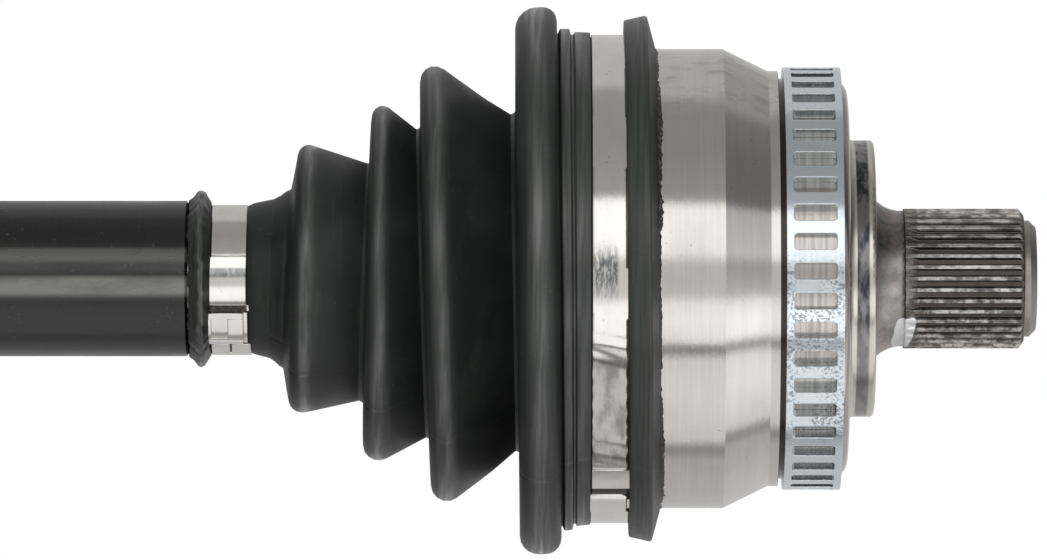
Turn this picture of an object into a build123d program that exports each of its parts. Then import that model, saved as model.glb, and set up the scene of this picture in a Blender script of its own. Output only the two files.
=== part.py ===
from build123d import *

import math
import os
from dataclasses import dataclass

os.makedirs("parts", exist_ok=True)

# All lengths are millimetres. X runs along the axle and grows toward the wheel, Z is up,
# and the origin is the centre of the face that seats on the wheel hub.

# Splined stub, measured from the hub seating face.
STUB_LENGTH = 34.6
STUB_TEETH = 38
STUB_TIP_RADIUS = 14.93
STUB_TOOTH_DEPTH = 0.95
STUB_FILLET_LENGTH = 6.0
STUB_FILLET_HEIGHT = 2.85
STUB_SHANK_STEP = 0.48
STUB_RUNOUT_LENGTH = 3.4
STUB_CHAMFER = 1.2
STUB_BOSS_STEP = 1.58
STUB_BOSS_LENGTH = 2.6
STUB_BOSS_CHAMFER = 1.4
THREAD_RADIUS = 7.25
THREAD_DEPTH = 30.0

# Outside of the bell between the hub face and its rim.
SEAL_SEAT_RADIUS = 29.5
SEAL_SEAT_LENGTH = 5.7
SEAL_SEAT_FILLET = 1.5
SEAL_SEAT_ROUNDING = 0.9
SHOULDER_RADIUS = 42.25
SHOULDER_ROUNDING = 3.0
RING_STEP = 0.45
RING_THICKNESS = 2.35
RING_START_X = -7.2
RING_WIDTH = 12.2
RING_GAP = 1.1
RING_WINDOWS = 45
RING_WINDOW_LENGTH = 9.0
RING_WINDOW_HEIGHT = 3.5
RING_WINDOW_ROUNDING = 0.7
COLLAR_DROP = 0.75
COLLAR_WIDTH = 2.1
CONE_LENGTH = 9.6
BELL_WALL = 8.0
BOOT_GROOVE_DEPTH = 1.5

# Ball joint inside the bell; its centre is where the shaft bends.
JOINT_X = -44.0
BALL_RADIUS = 9.5
PITCH_RADIUS = 31.5
TRACK_OFFSET = 3.5
CAGE_OUTSIDE = 4.9
CAGE_INSIDE = 1.0
CAGE_HALF_WIDTH = 14.0
CAGE_WINDOW_LENGTH = 24.0
CAGE_WINDOW_ROUNDING = 3.0
RACE_HALF_WIDTH = 11.5
RACE_TEETH = 28
RACE_TIP_RADIUS = 12.5
RACE_TOOTH_DEPTH = 0.8
CAVITY_DEPTH = 28.0
CAGE_LAND = 10.0
RIM_DISTANCE = 19.0
RIM_OPENING_STEP = 9.4
BALL_AZIMUTHS = (30, 90, 150, 210, 270, 330)

# Running clearances, on the radius.
RUNNING_GAP = 0.05
TRACK_GAP = 0.03
RACE_GAP = 0.2
RACE_TRACK_GAP = 0.15
WINDOW_GAP = 0.35
FIT_GAP = 0.03
SEAT_GAP = 0.05
NEEDLE_GAP = 0.02

# Shaft between the joints.
NECK_STEP = 0.7
BOOT_SEAT_STEP = 1.0
TUBE_STEP = 3.1
TUBE_WALL = 4.6
TUBE_EDGE = 0.5
SPIGOT_LENGTH = 14.0
THRUST_RING_WIDTH = 2.45
THRUST_RING_HEIGHT = 4.5
SPRING_THICKNESS = 1.2
SPRING_RISE = 0.7
CIRCLIP_WIDTH = 1.6
CIRCLIP_DEPTH = 1.4
CIRCLIP_HEIGHT = 3.0
CIRCLIP_OPENING = 40
JOURNAL_END = 2.6

# Tripod joint on the gearbox side.
TRIPOD_X = -480.0
PLUNGE = 18.0
ROLLER_RADIUS = 19.0
ROLLER_WIDTH = 13.0
ROLLER_WALL = 4.1
ROLLER_LIP = 0.9
ROLLER_CHAMFER = 1.2
NEEDLE_COUNT = 24
RING_WALL = 2.1
TRUNNION_CENTRE_RADIUS = 25.0
TRUNNION_INSET = 0.5
SPIDER_CLEARANCE = 3.0
SPIDER_WALL = 3.9
SPIDER_HALF_WIDTH = 10.0
SPIDER_TEETH = 26
SPIDER_TOOTH_DEPTH = 0.8
GEARBOX_NECK_STEP = 0.4
TRIPOD_TRACK_GAP = 0.42
LOBE_END_GAP = 0.8
LOBE_WALL = 4.6
LOBE_ROUNDING = 9.0
TRIPOD_BORE_RADIUS = 24.0
RIM_FLARE = 2.0
RIM_FLARE_LENGTH = 6.0
OPEN_END = 2.0
CLOSED_END = 11.0
COVER_EDGE = 3.311
COVER_RECESS_DEPTH = 5.5
COVER_THICKNESS = 1.2
COVER_DISH = 2.2
SEAL_WIDTH = 2.6
SEAL_THICKNESS = 1.1
FLANGE_THICKNESS = 10.0
FLANGE_BOLTS = 6
FLANGE_HOLE_RADIUS = 5.25
FLANGE_HOLE_STEP = 6.0
FLANGE_EDGE = 7.0
SCALLOP_RADIUS = 14.0
SCALLOP_STEP = 9.0
TRUNNION_AZIMUTHS = (90, 210, 330)

# Rubber of both gaiters. Distances run from the gaiter's mouth toward the shaft, and the
# radii of the folds are heights above the seat of the narrow end.
RUBBER = 2.3
CREASE = 0.9
NECK_LENGTH = 9.5
SMALL_SEAT_WIDTH = 7.7
SMALL_SEAT_HEIGHT = 2.0
BEAD_WIDTH = 4.7
BEAD_HEIGHT = 5.3
BAND_THICKNESS = 0.7

# Wheel-side gaiter: mouth with its lip, clamp seat and collar, then the folds.
WHEEL_OVERHANG = 16.9
LIP_HEIGHT = 7.3
LIP_SLOPE_LENGTH = 1.8
WHEEL_SEAT_FROM = 6.6
WHEEL_SEAT_TO = 14.3
WHEEL_SEAT_HEIGHT = 2.55
WHEEL_COLLAR_END = 20.4
WHEEL_COLLAR_HEIGHT = 4.7
WHEEL_CRESTS = (45.0, 32.8, 24.2, 15.1)
WHEEL_FEET = (22.5, 19.2, 12.0, 4.9)
WHEEL_FACES = (29.8, 49.4, 61.6, 77.8)
WHEEL_ROUNDINGS = (4.45, 3.3, 2.8, 3.0)

# Gearbox-side gaiter, in the same order.
GEARBOX_OVERHANG = 19.0
GEARBOX_SEAT_FROM = 3.8
GEARBOX_SEAT_TO = 11.8
GEARBOX_SEAT_HEIGHT = 4.9
GEARBOX_RIB_HEIGHT = 2.6
GEARBOX_COLLAR_END = 19.2
GEARBOX_CRESTS = (35.3, 30.1, 23.7, 16.3)
GEARBOX_FEET = (22.9, 18.1, 12.3, 4.9)
GEARBOX_FACES = (29.4, 46.4, 62.2, 76.6)
GEARBOX_ROUNDINGS = (3.6, 3.2, 2.8, 2.6)

# Closing plates of the clamps: azimuths where they start and end, counted from +Z toward +Y.
BAND_END = (213.4, 220.6)
HOOK_PLATE = (200.8, 211.2)
LOWER_BAND = (186.0, 200.8)
SMALL_OVERLAP = (287.0, 318.0)
SMALL_BLOCK = (222.0, 246.0)
SMALL_PLATE = (205.0, 222.0)

# Values that follow from the ones above: wheel side.
STUB_ROOT_RADIUS = STUB_TIP_RADIUS - STUB_TOOTH_DEPTH
STUB_BOSS_RADIUS = STUB_ROOT_RADIUS - STUB_BOSS_STEP
STUB_SHANK_RADIUS = STUB_ROOT_RADIUS + STUB_SHANK_STEP
RING_BORE_RADIUS = SHOULDER_RADIUS + RING_STEP
RING_OUTER_RADIUS = RING_BORE_RADIUS + RING_THICKNESS
COLLAR_RADIUS = RING_OUTER_RADIUS - COLLAR_DROP
BELL_RADIUS = PITCH_RADIUS + BALL_RADIUS + BELL_WALL
RING_END_X = RING_START_X - RING_WIDTH
COLLAR_FROM_X = RING_END_X - RING_GAP
CONE_FROM_X = COLLAR_FROM_X - COLLAR_WIDTH
CONE_TO_X = CONE_FROM_X - CONE_LENGTH
TRACK_RADIUS = math.hypot(PITCH_RADIUS, TRACK_OFFSET)
CAGE_OUTER_RADIUS = PITCH_RADIUS + CAGE_OUTSIDE
CAGE_INNER_RADIUS = PITCH_RADIUS - CAGE_INSIDE
CAVITY_BOTTOM_X = JOINT_X + CAVITY_DEPTH
CAGE_LAND_X = JOINT_X - CAGE_LAND
BELL_RIM_X = JOINT_X - RIM_DISTANCE
RIM_OPENING_RADIUS = BELL_RADIUS - RIM_OPENING_STEP
RACE_ROOT_RADIUS = RACE_TIP_RADIUS - RACE_TOOTH_DEPTH
RACE_FACE_X = JOINT_X + RACE_HALF_WIDTH
RACE_BACK_X = JOINT_X - RACE_HALF_WIDTH
THRUST_BACK_X = RACE_BACK_X - SEAT_GAP - THRUST_RING_WIDTH
THRUST_RING_RADIUS = RACE_TIP_RADIUS + THRUST_RING_HEIGHT
SPRING_BACK_X = THRUST_BACK_X - SEAT_GAP - SPRING_THICKNESS - SPRING_RISE
WHEEL_SHOULDER_X = SPRING_BACK_X - SEAT_GAP
WHEEL_NECK_RADIUS = RACE_TIP_RADIUS + NECK_STEP
BOOT_SEAT_RADIUS = RACE_TIP_RADIUS + BOOT_SEAT_STEP
TUBE_RADIUS = BOOT_SEAT_RADIUS + TUBE_STEP
TUBE_BORE_RADIUS = TUBE_RADIUS - TUBE_WALL

# Gearbox side.
SPIDER_FACE_X = TRIPOD_X + SPIDER_HALF_WIDTH
SPIDER_BACK_X = TRIPOD_X - SPIDER_HALF_WIDTH
ROLLER_INNER = TRUNNION_CENTRE_RADIUS - ROLLER_WIDTH / 2
ROLLER_OUTER = TRUNNION_CENTRE_RADIUS + ROLLER_WIDTH / 2
ROLLER_BORE_RADIUS = ROLLER_RADIUS - ROLLER_WALL
NEEDLE_SHARE = math.sin(math.pi / NEEDLE_COUNT)
NEEDLE_RADIUS = ((ROLLER_BORE_RADIUS - NEEDLE_GAP) * NEEDLE_SHARE - NEEDLE_GAP) / (1 + NEEDLE_SHARE)
NEEDLE_CENTRE_RADIUS = ROLLER_BORE_RADIUS - NEEDLE_GAP - NEEDLE_RADIUS
ROLLER_RING_RADIUS = NEEDLE_CENTRE_RADIUS - NEEDLE_RADIUS - NEEDLE_GAP
ROLLER_RING_BORE = ROLLER_RING_RADIUS - RING_WALL
TRUNNION_BALL_RADIUS = ROLLER_RING_BORE - FIT_GAP
TRUNNION_HALF = ROLLER_WIDTH / 2 - TRUNNION_INSET
TRUNNION_NECK_RADIUS = math.sqrt(TRUNNION_BALL_RADIUS**2 - TRUNNION_HALF**2)
SPIDER_HUB_RADIUS = ROLLER_INNER - SPIDER_CLEARANCE
SPIDER_TIP_RADIUS = SPIDER_HUB_RADIUS - SPIDER_WALL
SPIDER_ROOT_RADIUS = SPIDER_TIP_RADIUS - SPIDER_TOOTH_DEPTH
GEARBOX_NECK_RADIUS = SPIDER_TIP_RADIUS + GEARBOX_NECK_STEP
SLOT_HALF_WIDTH = ROLLER_RADIUS + TRIPOD_TRACK_GAP
SLOT_TOP = ROLLER_OUTER + LOBE_END_GAP
LOBE_HALF_WIDTH = SLOT_HALF_WIDTH + LOBE_WALL
LOBE_TOP = SLOT_TOP + LOBE_WALL
LOBE_REACH = LOBE_ROUNDING + math.hypot(LOBE_TOP - LOBE_ROUNDING, LOBE_HALF_WIDTH - LOBE_ROUNDING)
HOUSING_RIM_X = TRIPOD_X + ROLLER_RADIUS + PLUNGE + OPEN_END
FLANGE_FACE_X = TRIPOD_X - ROLLER_RADIUS - PLUNGE - CLOSED_END
SEAL_FLOOR_X = FLANGE_FACE_X + COVER_RECESS_DEPTH
COVER_RECESS_RADIUS = math.hypot(SLOT_TOP, SLOT_HALF_WIDTH) + COVER_EDGE
FLANGE_BOLT_RADIUS = COVER_RECESS_RADIUS + FLANGE_HOLE_STEP
FLANGE_RADIUS = FLANGE_BOLT_RADIUS + FLANGE_EDGE

# Gaiters and tube ends.
SMALL_SEAT_RADIUS = BOOT_SEAT_RADIUS + SMALL_SEAT_HEIGHT
WHEEL_SEAT_RADIUS = BELL_RADIUS + WHEEL_SEAT_HEIGHT
GEARBOX_SEAT_RADIUS = LOBE_REACH + GEARBOX_SEAT_HEIGHT
WHEEL_MOUTH_X = BELL_RIM_X + WHEEL_OVERHANG
GEARBOX_MOUTH_X = HOUSING_RIM_X - GEARBOX_OVERHANG
WHEEL_NARROW_FROM = WHEEL_FACES[-1] + NECK_LENGTH
GEARBOX_NARROW_FROM = GEARBOX_FACES[-1] + NECK_LENGTH
WHEEL_BOOT_LENGTH = WHEEL_NARROW_FROM + SMALL_SEAT_WIDTH + BEAD_WIDTH
GEARBOX_BOOT_LENGTH = GEARBOX_NARROW_FROM + SMALL_SEAT_WIDTH + BEAD_WIDTH
TUBE_WHEEL_END_X = WHEEL_MOUTH_X - WHEEL_BOOT_LENGTH - 4 * SEAT_GAP
TUBE_GEARBOX_END_X = GEARBOX_MOUTH_X + GEARBOX_BOOT_LENGTH + 4 * SEAT_GAP


@dataclass(frozen=True)
class Fold:
    """One fold of a gaiter: a cone that rises to a round crest and drops as a flat face."""

    crest: float
    foot: float
    face: float
    rounding: float


def gaiter_folds(crests, feet, faces, roundings):
    """Folds with radii counted from the axle, from the heights above the narrow seat."""
    return [
        Fold(BOOT_SEAT_RADIUS + crest, BOOT_SEAT_RADIUS + foot, face, rounding)
        for crest, foot, face, rounding in zip(crests, feet, faces, roundings)
    ]


WHEEL_FOLDS = gaiter_folds(WHEEL_CRESTS, WHEEL_FEET, WHEEL_FACES, WHEEL_ROUNDINGS)
GEARBOX_FOLDS = gaiter_folds(GEARBOX_CRESTS, GEARBOX_FEET, GEARBOX_FACES, GEARBOX_ROUNDINGS)


def turned(*steps):
    """Turn a closed outline about the X axis; a step is a point or a (middle, end) pair of an arc."""
    here = steps[0]
    edges = []
    for step in steps[1:]:
        if isinstance(step[0], tuple):
            edges.append(ThreePointArc(here, step[0], step[1]))
            here = step[1]
        else:
            edges.append(Line(here, step))
            here = step
    edges.append(Line(here, steps[0]))
    face = make_face(Curve() + edges)
    return revolve(Plane.XZ * face, Axis.X)


def on_axis(shape, azimuth):
    """Carry a shape made above the X axis round to an azimuth, counted from +Z toward +Y."""
    return Rot(X=-azimuth) * shape


def arc_point(centre_x, centre_r, radius, degrees):
    """Point of an arc, with the angle counted from +Z toward +X."""
    angle = math.radians(degrees)
    return (centre_x + radius * math.sin(angle), centre_r + radius * math.cos(angle))


def sector(x_from, x_to, r_from, r_to, azimuth_from, azimuth_to):
    """A curved plate: a rectangle carried round the X axis between two azimuths."""
    face = make_face(
        Polyline((x_from, r_from), (x_to, r_from), (x_to, r_to), (x_from, r_to), close=True)
    )
    plate = revolve(Plane.XZ * face, Axis.X, azimuth_to - azimuth_from)
    return on_axis(plate, azimuth_to)


def spline_prism(teeth, root, tip, gap, x_from, x_to):
    """Straight-flanked spline, grown by a gap on every flank when it is the cutter of a bore."""
    step = 360 / teeth
    root_half = step * 0.31 + math.degrees(gap / root)
    tip_half = step * 0.15 + math.degrees(gap / tip)
    corners = []
    for tooth in range(teeth):
        middle = tooth * step
        for radius, offset in (
            (root + gap, -root_half),
            (tip + gap, -tip_half),
            (tip + gap, tip_half),
            (root + gap, root_half),
        ):
            angle = math.radians(middle + offset)
            corners.append((radius * math.cos(angle), radius * math.sin(angle)))
    face = make_face(Polyline(*corners, close=True))
    return Pos(x_from, 0, 0) * (Plane.YZ * extrude(face, x_to - x_from))


def rod(x_from, x_to, radius):
    """Plain cylinder on the axle line."""
    return turned((x_from, 0), (x_from, radius), (x_to, radius), (x_to, 0))


def bell_outside():
    """Forged bell and stub without the spline teeth, the bore or the ball tracks."""
    boss_from = STUB_LENGTH - STUB_BOSS_LENGTH
    rise = STUB_FILLET_HEIGHT
    fillet_radius = (STUB_FILLET_LENGTH**2 + rise**2) / (2 * rise)
    foot_angle = math.degrees(math.asin(STUB_FILLET_LENGTH / fillet_radius))
    fillet_middle = arc_point(
        STUB_FILLET_LENGTH, STUB_SHANK_RADIUS + fillet_radius, fillet_radius, 180 + foot_angle / 2
    )
    corner = SHOULDER_RADIUS - SHOULDER_ROUNDING
    rounding = arc_point(-SEAL_SEAT_LENGTH - SHOULDER_ROUNDING, corner, SHOULDER_ROUNDING, 45)
    groove = BELL_RADIUS - BOOT_GROOVE_DEPTH
    edge_x, edge_r = -SEAL_SEAT_ROUNDING, SEAL_SEAT_RADIUS - SEAL_SEAT_ROUNDING
    foot_x, foot_r = SEAL_SEAT_FILLET - SEAL_SEAT_LENGTH, SEAL_SEAT_RADIUS + SEAL_SEAT_FILLET
    return turned(
        (STUB_LENGTH, 0),
        (STUB_LENGTH, STUB_BOSS_RADIUS - STUB_BOSS_CHAMFER),
        (STUB_LENGTH - STUB_BOSS_CHAMFER, STUB_BOSS_RADIUS),
        (boss_from, STUB_BOSS_RADIUS),
        (boss_from, STUB_ROOT_RADIUS - 0.4),
        (boss_from - 0.6, STUB_ROOT_RADIUS),
        (STUB_FILLET_LENGTH + STUB_RUNOUT_LENGTH / 2, STUB_ROOT_RADIUS),
        (STUB_FILLET_LENGTH + STUB_RUNOUT_LENGTH / 2, STUB_SHANK_RADIUS),
        (STUB_FILLET_LENGTH, STUB_SHANK_RADIUS),
        (fillet_middle, (0, STUB_SHANK_RADIUS + rise)),
        (0, edge_r),
        (arc_point(edge_x, edge_r, SEAL_SEAT_ROUNDING, 45), (edge_x, SEAL_SEAT_RADIUS)),
        (foot_x, SEAL_SEAT_RADIUS),
        (arc_point(foot_x, foot_r, SEAL_SEAT_FILLET, 225), (-SEAL_SEAT_LENGTH, foot_r)),
        (-SEAL_SEAT_LENGTH, corner),
        (rounding, (-SEAL_SEAT_LENGTH - SHOULDER_ROUNDING, SHOULDER_RADIUS)),
        (RING_START_X - 1.2, RING_BORE_RADIUS - SEAT_GAP / 2),
        (COLLAR_FROM_X, RING_BORE_RADIUS - SEAT_GAP / 2),
        (COLLAR_FROM_X, COLLAR_RADIUS),
        (CONE_FROM_X, COLLAR_RADIUS),
        (CONE_TO_X, BELL_RADIUS),
        (WHEEL_MOUTH_X - WHEEL_SEAT_FROM - 0.2, BELL_RADIUS),
        (WHEEL_MOUTH_X - WHEEL_SEAT_FROM - 0.2, groove),
        (WHEEL_MOUTH_X - WHEEL_SEAT_TO + 0.2, groove),
        (WHEEL_MOUTH_X - WHEEL_SEAT_TO + 0.2, BELL_RADIUS),
        (BELL_RIM_X + 1.0, BELL_RADIUS),
        (BELL_RIM_X, BELL_RADIUS - 1.0),
        (BELL_RIM_X, 0),
    )


def bell_cavity():
    """Spherical bore of the bell, opened with a cone at the rim so that the shaft can swing."""
    sphere = CAGE_OUTER_RADIUS + RUNNING_GAP
    bottom = math.degrees(math.asin((CAVITY_BOTTOM_X - JOINT_X) / sphere))
    land = math.degrees(math.asin((CAGE_LAND_X - JOINT_X) / sphere))
    return turned(
        (CAVITY_BOTTOM_X, 0),
        arc_point(JOINT_X, 0, sphere, bottom),
        (
            arc_point(JOINT_X, 0, sphere, (bottom + land) / 2),
            arc_point(JOINT_X, 0, sphere, land),
        ),
        (BELL_RIM_X, RIM_OPENING_RADIUS),
        (BELL_RIM_X - 1, RIM_OPENING_RADIUS),
        (BELL_RIM_X - 1, 0),
    )


def outer_track(azimuth):
    """Cutter of one outer ball track: a round mill carried along an arc set off toward the rim."""
    centre_x = JOINT_X - TRACK_OFFSET
    radius = BALL_RADIUS + TRACK_GAP
    start, end = -62, 29
    x, z = arc_point(centre_x, 0, TRACK_RADIUS, start)
    heading = math.radians(start)
    plane = Plane(origin=(x, 0, z), z_dir=(math.cos(heading), 0, -math.sin(heading)))
    groove = revolve(
        plane * Circle(radius), Axis((centre_x, 0, 0), (0, 1, 0)), revolution_arc=end - start
    )
    end_x, end_z = arc_point(centre_x, 0, TRACK_RADIUS, end)
    return [on_axis(groove, azimuth), on_axis(Pos(end_x, 0, end_z) * Sphere(radius), azimuth)]


def outer_joint():
    """Bell, hub seat and splined stub in one forging, with six ball tracks inside."""
    body = bell_outside() - bell_cavity()
    for azimuth in BALL_AZIMUTHS:
        for cutter in outer_track(azimuth):
            body -= cutter
    boss_from = STUB_LENGTH - STUB_BOSS_LENGTH
    teeth = spline_prism(
        STUB_TEETH, STUB_ROOT_RADIUS - 0.01, STUB_TIP_RADIUS, 0, STUB_FILLET_LENGTH, boss_from
    )
    teeth &= turned(
        (STUB_FILLET_LENGTH, 0),
        (STUB_FILLET_LENGTH, STUB_ROOT_RADIUS),
        (STUB_FILLET_LENGTH + 0.6, STUB_TIP_RADIUS + 0.2),
        (boss_from - STUB_CHAMFER, STUB_TIP_RADIUS + 0.2),
        (boss_from, STUB_ROOT_RADIUS - 0.5),
        (boss_from, 0),
    )
    runout = turned(
        (STUB_FILLET_LENGTH, 0),
        (STUB_FILLET_LENGTH, STUB_ROOT_RADIUS),
        (STUB_FILLET_LENGTH + 0.6, STUB_TIP_RADIUS),
        (STUB_FILLET_LENGTH + STUB_RUNOUT_LENGTH, STUB_ROOT_RADIUS),
        (STUB_FILLET_LENGTH + STUB_RUNOUT_LENGTH, 0),
    )
    body += teeth
    body += runout
    body -= rod(STUB_LENGTH - THREAD_DEPTH, STUB_LENGTH + 1, THREAD_RADIUS)
    return body


def abs_ring():
    """Sheet steel ring with a row of windows for the wheel speed sensor."""
    ring = turned(
        (RING_START_X, RING_BORE_RADIUS),
        (RING_START_X, RING_OUTER_RADIUS),
        (RING_END_X, RING_OUTER_RADIUS),
        (RING_END_X, RING_BORE_RADIUS),
    )
    middle = (RING_START_X + RING_END_X) / 2
    radius = (RING_BORE_RADIUS + RING_OUTER_RADIUS) / 2
    window = Box(RING_WINDOW_LENGTH, RING_WINDOW_HEIGHT, 6)
    window = fillet(window.edges().filter_by(Axis.Z), RING_WINDOW_ROUNDING)
    window = Pos(middle, 0, radius) * window
    windows = [on_axis(window, number * 360 / RING_WINDOWS) for number in range(RING_WINDOWS)]
    return ring - windows


def outer_cage():
    """Ball cage: a slice of a hollow sphere with six windows."""
    outer = math.degrees(math.asin(CAGE_HALF_WIDTH / CAGE_OUTER_RADIUS))
    inner = math.degrees(math.asin(CAGE_HALF_WIDTH / CAGE_INNER_RADIUS))
    cage = turned(
        arc_point(JOINT_X, 0, CAGE_OUTER_RADIUS, -outer),
        (
            arc_point(JOINT_X, 0, CAGE_OUTER_RADIUS, 0),
            arc_point(JOINT_X, 0, CAGE_OUTER_RADIUS, outer),
        ),
        arc_point(JOINT_X, 0, CAGE_INNER_RADIUS, inner),
        (
            arc_point(JOINT_X, 0, CAGE_INNER_RADIUS, 0),
            arc_point(JOINT_X, 0, CAGE_INNER_RADIUS, -inner),
        ),
    )
    window = Box(2 * (BALL_RADIUS + WINDOW_GAP), CAGE_WINDOW_LENGTH, 24)
    window = fillet(window.edges().filter_by(Axis.Z), CAGE_WINDOW_ROUNDING)
    window = Pos(JOINT_X, 0, PITCH_RADIUS + 2) * window
    for azimuth in BALL_AZIMUTHS:
        cage -= on_axis(window, azimuth)
    return cage


def outer_race():
    """Ball hub: a slice of a sphere with six tracks set off toward the wheel and a splined bore."""
    sphere = CAGE_INNER_RADIUS - RACE_GAP
    edge = math.degrees(math.asin(RACE_HALF_WIDTH / sphere))
    race = turned(
        (RACE_BACK_X, 0),
        arc_point(JOINT_X, 0, sphere, -edge),
        (arc_point(JOINT_X, 0, sphere, 0), arc_point(JOINT_X, 0, sphere, edge)),
        (RACE_FACE_X, 0),
    )
    track = Torus(TRACK_RADIUS, BALL_RADIUS + RACE_TRACK_GAP)
    track = Pos(JOINT_X + TRACK_OFFSET, 0, 0) * Rot(X=90) * track
    for azimuth in BALL_AZIMUTHS[:3]:
        race -= on_axis(track, azimuth)
    bore = spline_prism(
        RACE_TEETH, RACE_ROOT_RADIUS, RACE_TIP_RADIUS, FIT_GAP, RACE_BACK_X - 1, RACE_FACE_X + 1
    )
    return race - bore


def joint_ball(azimuth):
    """One ball, resting in the plane that halves the angle of the joint."""
    return on_axis(Pos(JOINT_X, 0, PITCH_RADIUS) * Sphere(BALL_RADIUS), azimuth)


def circlip(x_from, groove_radius):
    """Open spring ring in its groove."""
    return sector(
        x_from,
        x_from + CIRCLIP_WIDTH,
        groove_radius + SEAT_GAP,
        groove_radius + CIRCLIP_HEIGHT,
        CIRCLIP_OPENING / 2,
        360 - CIRCLIP_OPENING / 2,
    )


def clip_groove(x_from, groove_radius):
    """Cutter of a circlip's groove."""
    outer = groove_radius + 2 * CIRCLIP_HEIGHT
    return turned(
        (x_from, groove_radius),
        (x_from, outer),
        (x_from + CIRCLIP_WIDTH, outer),
        (x_from + CIRCLIP_WIDTH, groove_radius),
    )


def thrust_ring():
    """Plastic ring between the ball hub and the dished spring."""
    return turned(
        (THRUST_BACK_X, RACE_TIP_RADIUS + SEAT_GAP),
        (THRUST_BACK_X, THRUST_RING_RADIUS),
        (THRUST_BACK_X + THRUST_RING_WIDTH, THRUST_RING_RADIUS),
        (THRUST_BACK_X + THRUST_RING_WIDTH, RACE_TIP_RADIUS + SEAT_GAP),
    )


def dished_spring():
    """Spring washer that keeps the ball hub against its circlip."""
    return turned(
        (SPRING_BACK_X, RACE_TIP_RADIUS + SEAT_GAP),
        (SPRING_BACK_X + SPRING_RISE, THRUST_RING_RADIUS),
        (SPRING_BACK_X + SPRING_RISE + SPRING_THICKNESS, THRUST_RING_RADIUS),
        (SPRING_BACK_X + SPRING_THICKNESS, RACE_TIP_RADIUS + SEAT_GAP),
    )


def wheel_end_journal():
    """Solid end of the shaft: spline for the ball hub, neck, boot seat and spigot of the tube."""
    clip_x = RACE_FACE_X + SEAT_GAP
    end_x = clip_x + CIRCLIP_WIDTH + JOURNAL_END
    seat_x = WHEEL_MOUTH_X - WHEEL_NARROW_FROM + 2.0
    journal = spline_prism(
        RACE_TEETH, RACE_ROOT_RADIUS, RACE_TIP_RADIUS, 0, WHEEL_SHOULDER_X, end_x
    )
    journal &= turned(
        (WHEEL_SHOULDER_X, 0),
        (WHEEL_SHOULDER_X, WHEEL_NECK_RADIUS + 1),
        (end_x - 1.0, WHEEL_NECK_RADIUS + 1),
        (end_x - 1.0, RACE_TIP_RADIUS + 0.1),
        (end_x, RACE_ROOT_RADIUS - 0.5),
        (end_x, 0),
    )
    journal += turned(
        (WHEEL_SHOULDER_X, 0),
        (WHEEL_SHOULDER_X, WHEEL_NECK_RADIUS),
        (seat_x + 1, WHEEL_NECK_RADIUS),
        (seat_x, BOOT_SEAT_RADIUS),
        (TUBE_WHEEL_END_X, BOOT_SEAT_RADIUS),
        (TUBE_WHEEL_END_X, TUBE_BORE_RADIUS - FIT_GAP),
        (TUBE_WHEEL_END_X - SPIGOT_LENGTH, TUBE_BORE_RADIUS - FIT_GAP),
        (TUBE_WHEEL_END_X - SPIGOT_LENGTH, 0),
    )
    groove = RACE_TIP_RADIUS - CIRCLIP_DEPTH
    journal -= clip_groove(clip_x, groove)
    return journal


def shaft_tube():
    """Painted steel tube, butted against the two journals."""
    return turned(
        (TUBE_GEARBOX_END_X, TUBE_BORE_RADIUS),
        (TUBE_GEARBOX_END_X, TUBE_RADIUS - TUBE_EDGE),
        (TUBE_GEARBOX_END_X + TUBE_EDGE, TUBE_RADIUS),
        (TUBE_WHEEL_END_X - TUBE_EDGE, TUBE_RADIUS),
        (TUBE_WHEEL_END_X, TUBE_RADIUS - TUBE_EDGE),
        (TUBE_WHEEL_END_X, TUBE_BORE_RADIUS),
    )


def gearbox_end_journal():
    """Solid end of the shaft: spigot, boot seat, neck and spline for the tripod spider."""
    seat_x = GEARBOX_MOUTH_X + GEARBOX_NARROW_FROM - 4.0
    shoulder_x = SPIDER_FACE_X + SEAT_GAP
    clip_x = SPIDER_BACK_X - SEAT_GAP - CIRCLIP_WIDTH
    end_x = clip_x - JOURNAL_END
    journal = spline_prism(
        SPIDER_TEETH, SPIDER_ROOT_RADIUS, SPIDER_TIP_RADIUS, 0, end_x, shoulder_x
    )
    journal &= turned(
        (shoulder_x, 0),
        (shoulder_x, GEARBOX_NECK_RADIUS + 1),
        (end_x + 1.0, GEARBOX_NECK_RADIUS + 1),
        (end_x + 1.0, SPIDER_TIP_RADIUS + 0.1),
        (end_x, SPIDER_ROOT_RADIUS - 0.5),
        (end_x, 0),
    )
    journal += turned(
        (shoulder_x, 0),
        (shoulder_x, GEARBOX_NECK_RADIUS),
        (seat_x - 1.5, GEARBOX_NECK_RADIUS),
        (seat_x, BOOT_SEAT_RADIUS),
        (TUBE_GEARBOX_END_X, BOOT_SEAT_RADIUS),
        (TUBE_GEARBOX_END_X, TUBE_BORE_RADIUS - FIT_GAP),
        (TUBE_GEARBOX_END_X + SPIGOT_LENGTH, TUBE_BORE_RADIUS - FIT_GAP),
        (TUBE_GEARBOX_END_X + SPIGOT_LENGTH, 0),
    )
    groove = SPIDER_TIP_RADIUS - CIRCLIP_DEPTH
    journal -= clip_groove(clip_x, groove)
    return journal


def cone_to_crest(start, fold, wall):
    """Ends of the cone that rises from a point to a fold's crest, moved inward by a wall."""
    centre = (fold.face - fold.rounding, fold.crest - fold.rounding)
    reach = math.hypot(start[0] - centre[0], start[1] - centre[1])
    lean = math.atan2(start[1] - centre[1], start[0] - centre[0]) % (2 * math.pi)
    normal = lean - math.acos(fold.rounding / reach)
    across, up = math.cos(normal), math.sin(normal)
    foot = (start[0] - wall * across, start[1] - wall * up)
    radius = fold.rounding - wall
    touch = (centre[0] + radius * across, centre[1] + radius * up)
    middle = (centre[0] + radius * math.cos(normal / 2), centre[1] + radius * math.sin(normal / 2))
    return foot, touch, middle


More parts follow.
